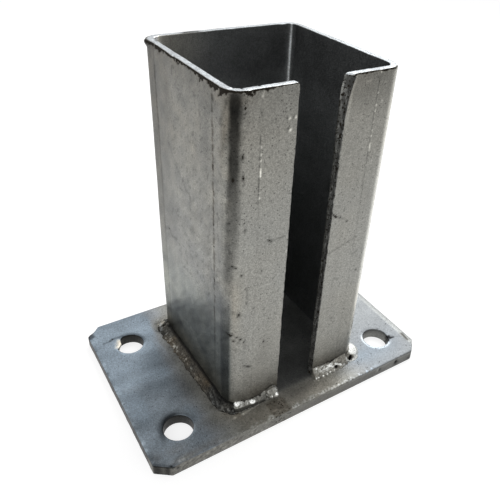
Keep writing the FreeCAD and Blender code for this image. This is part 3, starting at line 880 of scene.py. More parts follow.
# Marks on the front face: place along it, height, half width, half height, how much darker
FRONT_FACE_SPOTS = (
    (-87.6, 5.4, 1.1, 0.9, 0.93), (-89.9, 7.3, 1.0, 0.9, 0.93), (89.0, 2.6, 1.4, 1.0, 0.9),
    (59.8, 5.0, 0.9, 1.1, -1.0), (61.8, 4.6, 0.9, 1.3, 0.7),
)
FRONT_NICK = (76.7, 4.3)
HOLE_PROFILE = [(0.75, 0.0), (0.45, 0.08), (0.18, 0.28), (0.0, 0.6), (0.0, 1.6), (0.0, 3.2), (0.0, 4.8),
                (0.0, 6.4), (0.0, 7.6), (0.3, 8.0)]


def outline_loop():
    """Points and outward normals round the plate's edge."""
    total = sum(length for length, _ in PLATE_RUNS)
    distance = np.arange(round(total)) * total / round(total)
    start = (PLATE_HIGH[0] - CORNER_CLIP - CLIP_TRIM, PLATE_LOW[1])
    return walk(start, -QUARTER_TURN, PLATE_RUNS, distance)


def hole_loop(centre):
    """Points round a hole, and normals that point into it."""
    angles = np.linspace(0, 2 * math.pi, 72, endpoint=False)
    normals = -heading(angles)
    return np.array(centre) - HOLE_RADIUS * normals, normals


def face_points(seed):
    """Scattered points over the plate's top, close together where it is seen and clear of its edges."""
    scatter = np.random.default_rng(seed)
    found = []
    for pitch in (HIDDEN_PITCH, POINT_PITCH, FINE_PITCH):
        columns = np.arange(PLATE_LOW[0], PLATE_HIGH[0], pitch)
        rows = np.arange(PLATE_LOW[1], PLATE_HIGH[1], pitch * 0.87)
        across, along = np.meshgrid(columns, rows)
        across[1::2] += pitch / 2
        spots = np.stack([across.ravel(), along.ravel()], -1)
        spots += scatter.uniform(-0.16, 0.16, spots.shape) * pitch
        under = (spots[:, 0] > SLEEVE_LOW[0] + 1) & (spots[:, 0] < SLEEVE_HIGH[0] - 1)
        under &= (spots[:, 1] > SLEEVE_LOW[1] + 1) & (spots[:, 1] < SLEEVE_HIGH[1] - 1)
        fine = ~under & (spots[:, 1] < -51) & (spots[:, 0] < 60) & (spots[:, 0] > -48)
        fine |= ~under & (np.abs(spots[:, 0] + 82) < 13) & (np.abs(spots[:, 1] - 44) < 8)
        wanted = {HIDDEN_PITCH: under, FINE_PITCH: fine, POINT_PITCH: ~under & ~fine}[pitch]
        keep = wanted & (np.abs(spots[:, 0]) < PLATE_HIGH[0] - ARRIS - 0.5 * pitch)
        keep &= np.abs(spots[:, 1]) < PLATE_HIGH[1] - ARRIS - 0.5 * pitch
        diagonal = PLATE_HIGH[0] + PLATE_HIGH[1] - CORNER_CLIP - 1.5 * ARRIS - 0.7 * pitch
        keep &= np.abs(spots).sum(axis=1) < diagonal
        for centre in HOLE_CENTRES:
            keep &= np.hypot(*(spots - centre).T) > HOLE_RADIUS + HOLE_PROFILE[0][0] + 0.5 * pitch
        found.append(spots[keep])
    return np.concatenate(found)


def face_triangles(loops, loose):
    """Triangles that fill the plate's outline round its holes, on the loops' points and the loose ones."""
    points = np.concatenate(loops + [loose])
    edges = []
    begun = 0
    for loop in loops:
        count = len(loop)
        edges += [(begun + step, begun + (step + 1) % count) for step in range(count)]
        begun += count
    made = delaunay_2d_cdt([Vector(point) for point in points.tolist()], edges, [], 1, 1e-6)
    if len(made[0]) != len(points):
        raise ValueError("the plate's outline points are too close together")
    order = np.array([source[0] for source in made[3]])
    triangles = order[np.array(made[2])]
    sizes = [len(loop) for loop in loops] + [len(loose)]
    owners = np.repeat([*range(len(loops)), 0], sizes)[triangles]
    in_a_hole = (owners[:, 0] > 0) & (owners[:, 0] == owners[:, 1]) & (owners[:, 1] == owners[:, 2])
    triangles = triangles[~in_a_hole]
    first, second, third = (points[triangles[:, corner]] for corner in range(3))
    turn = np.cross(second - first, third - first)
    triangles[turn < 0] = triangles[turn < 0][:, ::-1]
    return triangles


def crust_patch(across, along):
    """A brown crusty patch in front of the left bead, reaching the plate's front edge."""
    flat = np.stack([across, along, 0 * across], -1)
    ragged = layered(flat, 2.4, 56, 2)
    sides = ramp(across + ragged, -24.6, -22.4) * ramp(across - ragged, -9.6, -12.0)
    return sides * ramp(along + 0.8 * ragged, -52.2, -54.0)


def zinc_drip(points):
    """Where a drip of zinc hangs in the rear left hole, 1 at its middle."""
    from_hole = points[:, :2] - HOLE_CENTRES[2]
    angle = np.arctan2(from_hole[:, 1], from_hole[:, 0])
    return hill(angle, 2.72, 0.52) * ramp(points[:, 2], 3.2, 6.0)


def wear_plate(points):
    """How far each point of the plate moves: a rolled right edge, sheared sides, nicks and spatter crust."""
    across, along, height = points.T
    flat = points * (1, 1, 0.6)
    top = height / PLATE_HIGH[2]
    rise = 0.05 * layered(flat, 20, 41, 2) + 0.02 * noise(flat, 2.4, 42)
    rolled = np.clip((across - 94.5) / 5.5, 0, 1)
    rise -= 0.55 * rolled ** 2
    crusted = crust_patch(across, along) + 0.5 * spot(across, along, (-40, -53), (3, 2.5))
    rise += crusted * (0.05 + 0.16 * noise(flat, 1.7, 43))
    fringe = ramp(along, -61.5, -64.5) * between(across, -42, -30, 48, 62)
    rise += fringe * 0.10 * noise(flat, 1.6, 44)
    rise -= 0.4 * spot(across, along, (85.8, -45.6), (1.6, 1.3))
    moved = points.copy()
    moved[:, 2] += top * np.minimum(rise, 0.6)
    moved[:, 1] -= CLIP_SHIFT * np.clip((-91 - across) / 9, 0, 1) * ramp(along, -40, -56)
    from_hole = points[:, :2] - HOLE_CENTRES[2]
    around = np.maximum(np.hypot(*from_hole.T), 1e-6)
    drip = zinc_drip(points) * ramp(around, 12.0, 9.8)
    moved[:, :2] -= from_hole / around[:, None] * (3.2 * drip)[:, None]
    side = 0.1 + 0.09 * noise(flat, 4, 45) + 0.07 * noise(flat, 1.5, 46)
    side += 0.9 * spot(across, height, FRONT_NICK, (1.3, 1.6)) * ramp(along, -60, -64)
    side += 0.5 * spot(across, height, (61.5, 5), (0.8, 1.2)) * ramp(along, -60, -64)
    side += 0.6 * ramp(noise(flat, 3.0, 47), 0.72, 0.95)
    side *= 1 - ramp(across, -92, -97) * ramp(along, 44, 54)
    side -= 1.5 * spot(across, along, (-98.5, 58.0), (3.2, 3.2))
    return moved, np.clip(side, -1.8, 1.2)


def plate_mottle(points):
    """Broad blotches, smudges drawn out sideways, and drifts between them in size."""
    blotch = layered(points, 34, 51)
    warped = points + 6 * np.stack([blotch, -blotch, 0 * blotch], -1)
    return blotch, layered(warped * (0.5, 1, 1), 10, 52), layered(warped * (0.6, 1, 1), 21, 59, 2)


def paint_top(points, blotch, smudge, drift):
    """Tone, tint, speck density and flaking of the plate's top, with a painted sheen on its right part."""
    across, along, _ = points.T
    left = ramp(across, -35, -70)
    right = ramp(across, 25, 60)
    on_left = across < -40
    from_left_bead = np.hypot(np.clip(-53 - across, 0, None), np.clip(np.abs(along) - 46, 0, None))
    halo = hill(from_left_bead, 0, 13) * on_left
    front = hill(along, -58, 9) * between(across, -66, -44, 34, 62)
    tone = 0.84 - 0.02 * left + 0.12 * left * ramp(along, 0, 40)
    # The right part is lighter towards the rear and bluer: its own zinc, with a painted sheen
    tone += right * (0.16 * ramp(along, -20, 20) - 0.13 * ramp(along, -12, -40))
    tone *= (1 - 0.13 * halo) * (1 + 0.04 * front)
    tone *= 1 + 0.5 * smudge * (0.4 + 0.6 * left) + 0.12 * blotch + 0.3 * drift * (0.3 + 0.7 * left)
    tint = 0.9 - 2.3 * left - 1.75 * right + 0.3 * blotch - 0.5 * ramp(along, -10, 35)
    tint += 1.3 * hill(from_left_bead, 0, 8) * on_left + 0.35 * front
    tint -= np.clip(1.2 * smudge + 0.9 * drift, 0.4, 1.0) * left
    for x, y, wide, tall, darker, browner in PLATE_PATCHES:
        patch = spot(across + 3 * smudge, along + 3 * blotch, (x, y), (wide, tall))
        tone *= 1 - darker * patch
        tint += browner * patch

    worn = marked(across, along, PLATE_SPOTS, PLATE_LINES)
    crust = crust_patch(across, along)
    tone *= worn * (1 - 0.42 * crust) * (1 + 0.25 * crust * noise(points, 1.5, 58))
    tint += 0.5 * crust
    crud = 0.25 + 0.4 * front + 0.3 * smudge + 0.3 * halo + 0.8 * crust
    flaking = 0.45 * crust + 0.6 * ramp(worn, 0.6, 0.3) + 0.22 * halo
    # Bright bluish crumbs along the front edge: rough zinc, and painted sparkle
    fringe = ramp(along, -61.4, -63.4) * (0.3 * ramp(across, -80, -70) + 0.7 * ramp(across, -44, -36))
    fringe *= ramp(across, 64, 52) * (1 - 0.7 * crust)
    crumbs = ramp(noise(points, 1.1, 53) + 0.7 * noise(points, 0.8, 57), -0.1, 0.7)
    tone *= 1 + fringe * (1.05 * crumbs - 0.12)
    return tone, tint - 1.1 * fringe * crumbs, crud, flaking


def shade_round_holes(points):
    """Painted highlights on the holes' near lips, painted shade on their far sides, and painted shade beside
    the front left hole.
    """
    across, along, _ = points.T
    shade = np.ones(len(points))
    for centre in HOLE_CENTRES:
        around = np.hypot(across - centre[0], along - centre[1])
        far_side = ramp(along - centre[1] + 0.6 * (across - centre[0]), -2, 7)
        lip_light = 2.2 if centre[0] > 0 else 0.35
        shade *= 1 + lip_light * hill(around, HOLE_RADIUS + 0.8, 0.8) * (1 - far_side)
        far_depth = 0.55 - 0.3 * ramp(across, 25, 60)
        shade *= 1 - far_depth * hill(around, HOLE_RADIUS + 0.3, 1.5) * far_side
    away = points[:, :2] - HOLE_CENTRES[0]
    hollow_shade = ramp(np.hypot(*away.T), 14.0, 9.6) * ramp(away[:, 1] - 1.1 * away[:, 0], 2, 11)
    return shade * (1 - 0.72 * hollow_shade)


def rust_blot(points):
    """The black rust on the right front hole's rim."""
    across, along, _ = points.T
    blot = spot(across, along, (85.6, -45.6), (2.4, 2.6))
    blot += 0.9 * spot(across, along, (83.0, -48.4), (2.2, 1.6))
    blot += 0.6 * spot(across, along, (88.4, -47.4), (1.6, 1.0))
    return ramp(blot + 0.35 * noise(points, 1.6, 60), 0.35, 0.6)


def plate_wall_tone(points, ragged):
    """Tone of the plate's upright sides, with a painted shade on the left side."""
    across, along, height = points.T
    front = ramp(along, -60, -64)
    on_clip = ramp(across, -91.5, -93) * ramp(along, -55, -57)
    tone = 0.74 + 0.12 * ragged + 0.25 * front * ramp(across, -20, 40) * ramp(height, 5, 7)
    tone *= np.interp(across, FRONT_FACE_PLACES, FRONT_FACE_TONES) * (1 - 0.86 * on_clip)
    nick = np.minimum(1, 1.3 * spot(across, height, FRONT_NICK, (1.6, 2.0)))
    tone *= mixed(1, marked(across, height, FRONT_FACE_SPOTS, ()) * (1 - 0.96 * nick), front)
    # The left side is painted dark as shade
    tone *= 1 - 0.84 * ramp(across, -97, -99.5) * ramp(along, -52, -48)
    gritty = noise(points, 1.1, 62) * front * ramp(across, 10, -30)
    tone *= 1 + 0.5 * ramp(gritty, 0.3, 0.7) - 0.4 * ramp(gritty, -0.3, -0.7)
    return tone * (1 + 2.5 * on_clip * spot(across, along, (-95.5, -61.0), (2.0, 1.6)))


def shade_edges(points, ragged):
    """Dirt and sparkle along the plate's left side, its dark corners, and a painted shade along its front
    edge.
    """
    across, along, height = points.T
    shade = 1 - 0.6 * ramp(across, -96.5, -99) * hill(along, -51, 3.5) * ramp(height, 5, 7)
    left_edge = ramp(across, -96.8, -98.6) * ramp(height, 6, 7.2)
    shade *= 1 + left_edge * (0.5 * ramp(ragged, 0.1, 0.5) - 0.35 * ramp(ragged, -0.1, -0.5))
    shade *= 1 - 0.7 * ramp(spot(across, along, (-98.6, 57.6), (3.2, 3.2)), 0.3, 0.55)
    shade *= 1 - 0.65 * ramp(-across - along, 153.6, 155.4) * ramp(height, 6.5, 7.5)
    # A painted shade along the front arris
    return shade * (1 - 0.35 * ramp(height, 7.2, 7.9) * hill(along, -64.7, 0.7))


def paint_plate(points, wall, in_hole):
    """Colours and skin of the plate; wall and in_hole are 1 on its sides and in its holes."""
    across, along, height = points.T
    blotch, smudge, drift = plate_mottle(points)
    tone, tint, crud, flaking = paint_top(points, blotch, smudge, drift)
    tone *= shade_round_holes(points)
    # A painted highlight along the plate's rolled right edge
    rolled_edge_highlight = ramp(across + 0.5 * smudge, 94.6, 96.2) * ramp(height, 5.5, 7.3) * ramp(along, 64, 58)
    tone = mixed(tone, 1.25, rolled_edge_highlight)
    tint = mixed(tint, -0.3, rolled_edge_highlight)
    rust = scratch(across, along, (96.9, -48.0), (96.3, -54.6), 1.1) * (0.9 + 0.3 * smudge)
    blot = rust_blot(points)
    tone *= (1 - 0.93 * np.clip(rust, 0, 1)) * (1 - 0.93 * blot)

    ragged = layered(points, 3.0, 54)
    tone = mixed(tone, plate_wall_tone(points, ragged), wall)
    tint = mixed(tint + 1.2 * rust, 0.9 - 0.6 * ramp(across, 20, 60), wall)
    # The hole walls are painted dark as shade, less so towards the bottom and in the right-hand holes
    hole_tone = np.interp(height, (0, 5, 7.6), (0.17, 0.12, 0.07)) * (1 + 0.3 * ragged)
    tone = mixed(tone, hole_tone * (1 + 3.6 * ramp(across, 50, 60) * (1 - blot)), in_hole)
    from_drip_hole = np.hypot(*(points[:, :2] - HOLE_CENTRES[2]).T)
    drip = ramp(zinc_drip(points), 0.2, 0.6) * ramp(from_drip_hole, 11.4, 10.2)
    tone = mixed(tone, 2.2 + 0.7 * ragged, drip)
    tint = mixed(mixed(tint, 1.5, drip), 0.2, in_hole)
    # Inside the sleeve the plate is painted darker near the slot and lighter towards the rear, as painted
    # shade and light
    inside = between(across, -44, -42, 46, 48) * between(along, -51, -46, 45, 47)
    sleeve_floor_light = np.interp(along, (-46, -36, -20, 20, 46), (0.42, 0.5, 0.75, 1.0, 1.3))
    tone *= mixed(1, sleeve_floor_light, inside * ramp(height, 7, 7.9)) * shade_edges(points, ragged)
    tint *= 1 - inside
    rough = 0.46 + 0.03 * smudge - 0.04 * rolled_edge_highlight
    skin = (rough, np.clip(crud + 0.45 * wall, 0, 1), np.clip(flaking, 0, 1))
    return steel_colour(PLATE_GREY * tone, tint), skin


def plate_rings(paths):
    """Rings of points down each path's profile.

    Each row holds a place, the outward direction, and 1 or 0 for an upright face and for the inside
    of a hole. The second list holds the row numbers of each path's rings.
    """
    blocks = []
    rings = []
    begun = 0
    for index, (path, facing, profile) in enumerate(paths):
        numbers = begun + np.arange(len(path) * len(profile)).reshape(len(profile), -1)
        begun += numbers.size
        rings.append(numbers)
        for inset, depth in profile:
            in_hole = index > 0 and depth > 0.3
            steady = np.tile((PLATE_HIGH[2] - depth, 0.3 < depth < 7.7, in_hole), (len(path), 1))
            blocks.append(np.column_stack([path - facing * inset, steady[:, 0], facing, steady[:, 1:]]))
    return np.concatenate(blocks), rings


def make_plate(material):
    """The plate: its worn edges and holes as rings of points, and triangles between them."""
    paths = [(*outline_loop(), EDGE_PROFILE)]
    paths += [(*hole_loop(centre), HOLE_PROFILE) for centre in HOLE_CENTRES]
    rows, rings = plate_rings(paths)
    loose = face_points(7)
    start = len(rows)
    on_top = np.tile((PLATE_HIGH[2], 0, 0, 0, 0), (len(loose), 1))
    rows = np.concatenate([rows, np.column_stack([loose, on_top])])
    points, facing, upright, in_hole = rows[:, :3], rows[:, 3:5], rows[:, 5], rows[:, 6]

    top_numbers = np.concatenate([ring[0] for ring in rings] + [start + np.arange(len(loose))])
    bottom_numbers = np.concatenate([ring[-1] for ring in rings])
    top = face_triangles([points[ring[0], :2] for ring in rings], loose)
    bottom = face_triangles([points[ring[-1], :2] for ring in rings], np.zeros((0, 2)))
    blocks = [top_numbers[top], bottom_numbers[bottom][:, ::-1]]
    for ring in rings:
        for upper, lower in zip(ring, ring[1:]):
            blocks.append(np.stack([upper, np.roll(upper, -1), np.roll(lower, -1), lower], -1))
    faces = [face for block in blocks for face in block.tolist()]

    wall = upright * (1 - in_hole)
    moved, worn = wear_plate(points)
    moved[:, :2] -= facing * (worn * wall)[:, None]
    moved[:, :2] = np.clip(moved[:, :2], PLATE_LOW[:2], PLATE_HIGH[:2])
    colours, skin = paint_plate(points, wall, in_hole)
    new_piece("drilled_plate", moved, faces, colours, skin, material, "base_plate")


# The weld beads

# A bead's mesh: step along it, and number of points across its skin
COARSE_BEAD = (0.42, 18)
FINE_BEAD = (0.26, 28)
# How far a bead reaches into the wall and the plate
SUNK = 0.4
RIPPLE_PITCH = 1.7


def bead_surface(stations, shares, legs, bulge):
    """Places and outward directions over a fillet bead along the sleeve's foot.

    A share of 0 is the bead's upper edge on the wall and 1 its toe on the plate.
    """
    places, normals = sheet_place(stations)
    height, width = legs
    out = width * shares + bulge * np.sin(np.pi * shares) * 0.7
    up = height * (1 - shares) + bulge * np.sin(np.pi * shares) * 0.7
    points = np.column_stack([places + normals * out[:, None], FOOT + up])
    lean = np.pi / 2 * (1 - shares)
    tilt = 0.5 * np.arctan2(width, height) + 0.5 * lean
    direction = np.column_stack([normals * np.cos(tilt)[:, None], np.sin(tilt)])
    return points, direction


def bead_lumps(points, stations, shares, lumps):
    """How far lumps stand out, and how deep pits go, at each point.

    Each lump is its place along the sheet, its share down the profile, its radius, and how far it
    stands out (below 0 for a pit).
    """
    knob = np.zeros(len(points))
    pit = np.zeros(len(points))
    for along, share, radius, stand in lumps:
        near = np.argmin(np.abs(stations - along) + 20 * np.abs(shares - share))
        away = np.linalg.norm(points - points[near], axis=1) / radius
        if stand > 0:
            dome = np.sqrt(np.clip(1 - away ** 2, 0, 1)) * ramp(away, 1.0, 0.75)
            knob = np.maximum(knob, stand * dome)
        else:
            pit = np.maximum(pit, -stand * ramp(away, 1.0, 0.3))
    return knob, pit


def closed_bead(skin, stations, height, width):
    """Closes a bead's skin inside the wall and the plate; skin holds a row of points for each station."""
    count = len(skin)
    places, normals = sheet_place(stations)
    low = np.full(count, FOOT - SUNK)
    toe = np.column_stack([places + normals * (width - 0.3)[:, None], low])
    root = np.column_stack([places - normals * SUNK, low])
    back = np.column_stack([places - normals * SUNK, FOOT + np.maximum(height - 0.3, 0)])
    rings = np.concatenate([skin, toe[:, None], root[:, None], back[:, None]], axis=1)
    numbers = np.arange(rings[..., 0].size).reshape(count, -1)
    ahead = np.roll(numbers, -1, axis=1)
    faces = np.stack([numbers[:-1], ahead[:-1], ahead[1:], numbers[1:]], -1).reshape(-1, 4).tolist()
    faces += [[numbers.size, after, now] for now, after in zip(numbers[0], ahead[0])]
    faces += [[numbers.size + 1, now, after] for now, after in zip(numbers[-1], ahead[-1])]
    return np.concatenate([rings.reshape(-1, 3), rings[[0, -1]].mean(axis=1)]), faces


def with_back(values, hidden):
    """A row of values for each station's skin, with one value for the hidden points and the two ends."""
    filled = np.concatenate([values, np.full((len(values), 3), hidden)], axis=1)
    return np.append(filled, [hidden, hidden])


def make_bead(name, node, slot, material, mesh_steps, ends, end_round, heights, widths, bulge, crust, seed,
              paint, lumps):
    """A fillet bead between two places along the sheet, with lumps, pits and a crusty skin.

    heights and widths are given at even shares of the bead's length.
    """
    pitch, steps = mesh_steps
    count = int(abs(ends[1] - ends[0]) / pitch)
    stations = np.repeat(np.linspace(*ends, count), steps)
    shares = np.tile(np.linspace(0, 1, steps), count)
    progress = (stations - ends[0]) / (ends[1] - ends[0])
    knots = np.linspace(0, 1, len(heights))
    near_end = [1 - np.abs(stations - end) / reach for end, reach in zip(ends, end_round)]
    scale = np.sqrt(np.clip(1 - np.clip(np.maximum(*near_end), 0, 1) ** 2, 0.02, 1))
    line = stations[:, None] * (1, 0, 0)
    wander = noise(line, 6.0, seed)
    ragged = noise(line, 1.7, seed + 3)
    height = np.interp(progress, knots, heights) * (1 + 0.07 * wander) * scale
    width = np.interp(progress, knots, widths) * (1 - 0.06 * wander + 0.12 * ragged) * scale
    points, direction = bead_surface(stations, shares, (height, width), bulge * scale)
    relief = crust * (layered(points, 1.9, seed + 1) + 0.6 * noise(points, 0.9, seed + 2))
    ripple = np.sin((stations + 6.4 * (shares - 0.5) ** 2) * 2 * math.pi / RIPPLE_PITCH + wander)
    relief += 0.07 * ripple * np.sin(math.pi * shares)
    knob, pit = bead_lumps(points, stations, shares, lumps)
    edge = np.sin(math.pi * np.clip(shares, 0.02, 0.98)) ** 0.4
    push = (relief + knob) * edge - np.minimum(pit, 0.85 * np.minimum(height, width))
    points = points + direction * push[:, None]
    points[:, 2] = np.maximum(points[:, 2], FOOT - SUNK)
    grid = points.reshape(count, steps, 3)
    solid, faces = closed_bead(grid, stations[::steps], height[::steps], width[::steps])
    painted = paint(points, stations, shares, relief / crust, knob, pit)
    tone, tint, rough, black = (
        with_back(values.reshape(count, steps), hidden) for values, hidden in zip(painted, (0.05, 0, 0.5, 0))
    )
    skin = (rough, np.full(len(solid), 0.5), black)
    colours = steel_colour(tone, tint)
    new_piece(name, solid, faces, colours, skin, material, node)


# Every paint function of a bead is given the same values, and returns tone, tint, roughness and flaking


def paint_side_bead(points, stations, shares, relief, knob, pit):
    """Brown stain under thin zinc: flecked behind, and darker towards the front corner."""
    _, along, height = points.T
    drawn = noise(points * (1, 0.3, 1), 1.3, 85)
    speckle = noise(points, 1.0, 81)
    behind = ramp(along, 2, 22)
    front = ramp(along, -22, -40)
    tone = 0.048 + 0.016 * relief + 0.016 * speckle + 0.014 * drawn + 0.018 * behind - 0.019 * front
    flecks = ramp(noise(points * (1, 0.6, 1), 1.1, 86) + 0.5 * speckle, 0.2, 0.6)
    toe = ramp(shares, 0.4, 0.7) * (0.3 + 0.7 * ramp(along, -10, 8))
    tone += toe * (0.01 + 0.24 * flecks)
    rear_crust = ramp(along, 37, 42)
    tone *= 1 - 0.35 * rear_crust
    tone += rear_crust * 0.22 * ramp(speckle + 0.6 * drawn, 0.1, 0.6) * ramp(shares, 0.6, 0.3)
    tone += ramp(along, 42.5, 45) * (0.06 + 0.3 * ramp(speckle, -0.2, 0.5)) * ramp(shares, 0.15, 0.35)
    tone *= 1 - 0.6 * between(along, 31, 34, 38, 41) * ramp(shares, 0.55, 0.75)
    # A painted shadow along the bead's upper edge against the wall
    tone *= 1 - 0.9 * ramp(shares, 0.3, 0.1) * (1 - 0.7 * rear_crust)
    tone *= 1 - 0.4 * ramp(shares, 0.92, 1.0)
    tone *= 1 - 0.93 * np.clip(pit, 0, 1)
    tint = 1.8 + 0.8 * noise(points, 5, 82) - 1.0 * front - 1.0 * ramp(along, 30, 42) - 1.2 * toe * flecks
    tint += 1.2 * spot(along, height, (-24, 12), (4, 3))
    # Black at the toe, and black in the painted shadow along the upper edge
    black = 0.4 * ramp(shares, 0.6, 0.9) + 0.25 * ramp(shares, 0.35, 0.1)
    black += 0.3 * rear_crust * ramp(along, 46, 43)
    return np.clip(tone, 0.006, 1), tint, np.full(len(points), 0.5), black


def paint_front_left_bead(points, stations, shares, relief, knob, pit):
    """Bright crumbs on the upper half of the bead, and a dull round lump at the slot."""
    height = points[:, 2]
    grains = 0.7 * noise(points, 0.9, 83) + 0.5 * noise(points, 0.6, 84) + 0.25 * relief
    upper = ramp(shares, 0.68, 0.5)
    tone = 0.055 + 0.02 * grains + upper * (0.28 + 0.2 * grains) * ramp(stations, 15, 18)
    smooth = ramp(stations, 16.5, 14.5) * ramp(shares, 0.85, 0.6)
    tone += smooth * (0.12 + 0.01 * grains)
    wedge = ramp(np.abs(stations - 29.5) - 2.5 * np.clip((height - 11.6) / 2.9, 0, 1.1), 0.3, -0.3)
    wedge *= ramp(height, 11.0, 12.2) * (0.75 + 0.5 * ramp(grains, -0.5, 0.3))
    ring = ramp(spot(stations, shares, (19.2, 0.34), (2.3, 0.24)), 0.35, 0.6)
    ring *= 1 - 0.75 * scratch(stations, shares * 8, (19.6, 3.0), (18.0, 2.2), 0.35)
    tone += 0.75 * np.clip(wedge + ring, 0, 1) * (1 + 0.3 * grains)
    tone += 0.3 * ramp(shares, 0.93, 0.97) * ramp(grains, -0.4, 0.4) * ramp(stations, 11, 14)
    away = np.hypot(stations - 5.9, height - 12.8)
    dome = ramp(stations, 10.6, 9.6)
    crinkled = ramp(away, 2.4, 3.3) * ramp(height, 12.6, 14.4)
    crinkled *= ramp(grains, -0.2, 0.3) * ramp(stations, 5.5, 3.0)
    tone = mixed(tone, 0.20 + 0.12 * grains + 0.35 * crinkled, dome)
    for place, level, radius, shine in ((3.8, 11.9, 1.7, 1.0), (9.1, 12.2, 0.6, 0.3)):
        tone = tone + shine * ramp(spot(stations, height, (place, level), (radius, radius)), 0.2, 0.6)
    tone += 0.9 * ramp(spot(stations, shares, (3.6, 0.64), (1.7, 0.15)), 0.3, 0.6)
    tone += 0.5 * ramp(spot(stations, shares, (7.2, 0.67), (0.9, 0.09)), 0.3, 0.6)
    # A painted shadow along the bead's upper edge against the wall, from station 12 on
    tone *= 1 - 0.85 * ramp(shares, 0.12, 0.02) * ramp(stations, 10, 12)
    tone *= 1 - 0.96 * np.clip(pit, 0, 1)
    tint = 0.9 - 0.8 * ramp(tone, 0.2, 0.5)
    black = 0.5 * ramp(shares, 0.14, 0.04) * ramp(stations, 10, 12)
    return np.clip(tone, 0.006, 1), tint, 0.46 - 0.06 * ramp(tone, 0.2, 0.6), black


def paint_bright_bead(points, stations, shares, relief, knob, pit):
    """A grey-brown body with a bright stringy crest and toe, and a white lump at the right corner."""
    height = points[:, 2]
    grains = 0.7 * noise(points, 1.0, 83) + 0.5 * noise(points, 0.7, 84) + 0.25 * relief
    strings = noise(points * (0.6, 1, 1.2), 0.75, 87)
    tone = 0.215 + 0.045 * grains + 0.03 * strings
    crest = scratch(stations, height, (346.5, 13.3), (341, 12.0), 1.4)
    crest = np.maximum(crest, scratch(stations, height, (341, 12.0), (333.5, 11.6), 1.9))
    crest *= ramp(0.9 * grains + strings, -0.7, 0.9)
    lower_string = scratch(stations, height, (331.5, 11.6), (323.5, 8.6), 0.6)
    crest += 0.8 * ramp(lower_string, 0.2, 0.8) * ramp(strings, -0.5, 0.1)
    crest += 1.1 * ramp(knob, 0.2, 0.6) * ramp(shares, 0.68, 0.78) * (stations > 330)
    on_front = ramp(stations, 321.5, 323.0)
    tone += (0.55 + 0.3 * strings) * np.clip(crest, 0, 1) * on_front
    left_of_white = 317.3 + 1.7 * ramp(shares, 0.62, 0.25)
    white = ramp(stations, left_of_white, left_of_white - 1.5) * ramp(stations, 307, 309)
    on_lump = stations > 306
    white_toe = 0.8 * ramp(stations, 321.5, 319.8) * ramp(shares, 0.72, 0.86) * on_lump
    white = np.maximum(white, white_toe) * ramp(shares, 0.0, 0.08)
    tone = mixed(tone, 0.93 + 0.05 * grains, white)
    round_pit = hill(np.hypot(stations - 319.3, height - 11.2), 2.7, 0.8) * ramp(height, 14.0, 12.2)
    tone = np.maximum(tone, 0.7 * round_pit * on_lump * (1 - white))
    tone = mixed(tone, 0.2 + 0.5 * ramp(grains, -0.1, 0.5), ramp(stations, 307.0, 304.0))
    tone *= 1 - 0.6 * ramp(stations, 303, 297)
    # A painted shadow along the bead's upper edge against the wall, except on the white lump
    tone *= 1 - 0.8 * ramp(shares, 0.12, 0.0) * (1 - white)
    tone *= 1 - 0.7 * spot(stations, height, (331.1, 10.0), (1.7, 0.9))
    tone *= 1 - 0.9 * ramp(spot(stations, height, (333.5, 13.9), (2.6, 0.8)), 0.2, 0.6)
    tone *= 1 - 0.5 * spot(stations, height, (320.6, 13.5), (1.0, 2.0))
    tone *= 1 - 0.985 * np.clip(1.6 * pit, 0, 1)
    bright = ramp(tone, 0.2, 0.5)
    tint = 1.2 - 1.1 * bright
    black = 0.25 * ramp(shares, 0.2, 0.05) * on_front
    return np.clip(tone, 0.004, 1), tint, 0.46 - 0.12 * bright, black


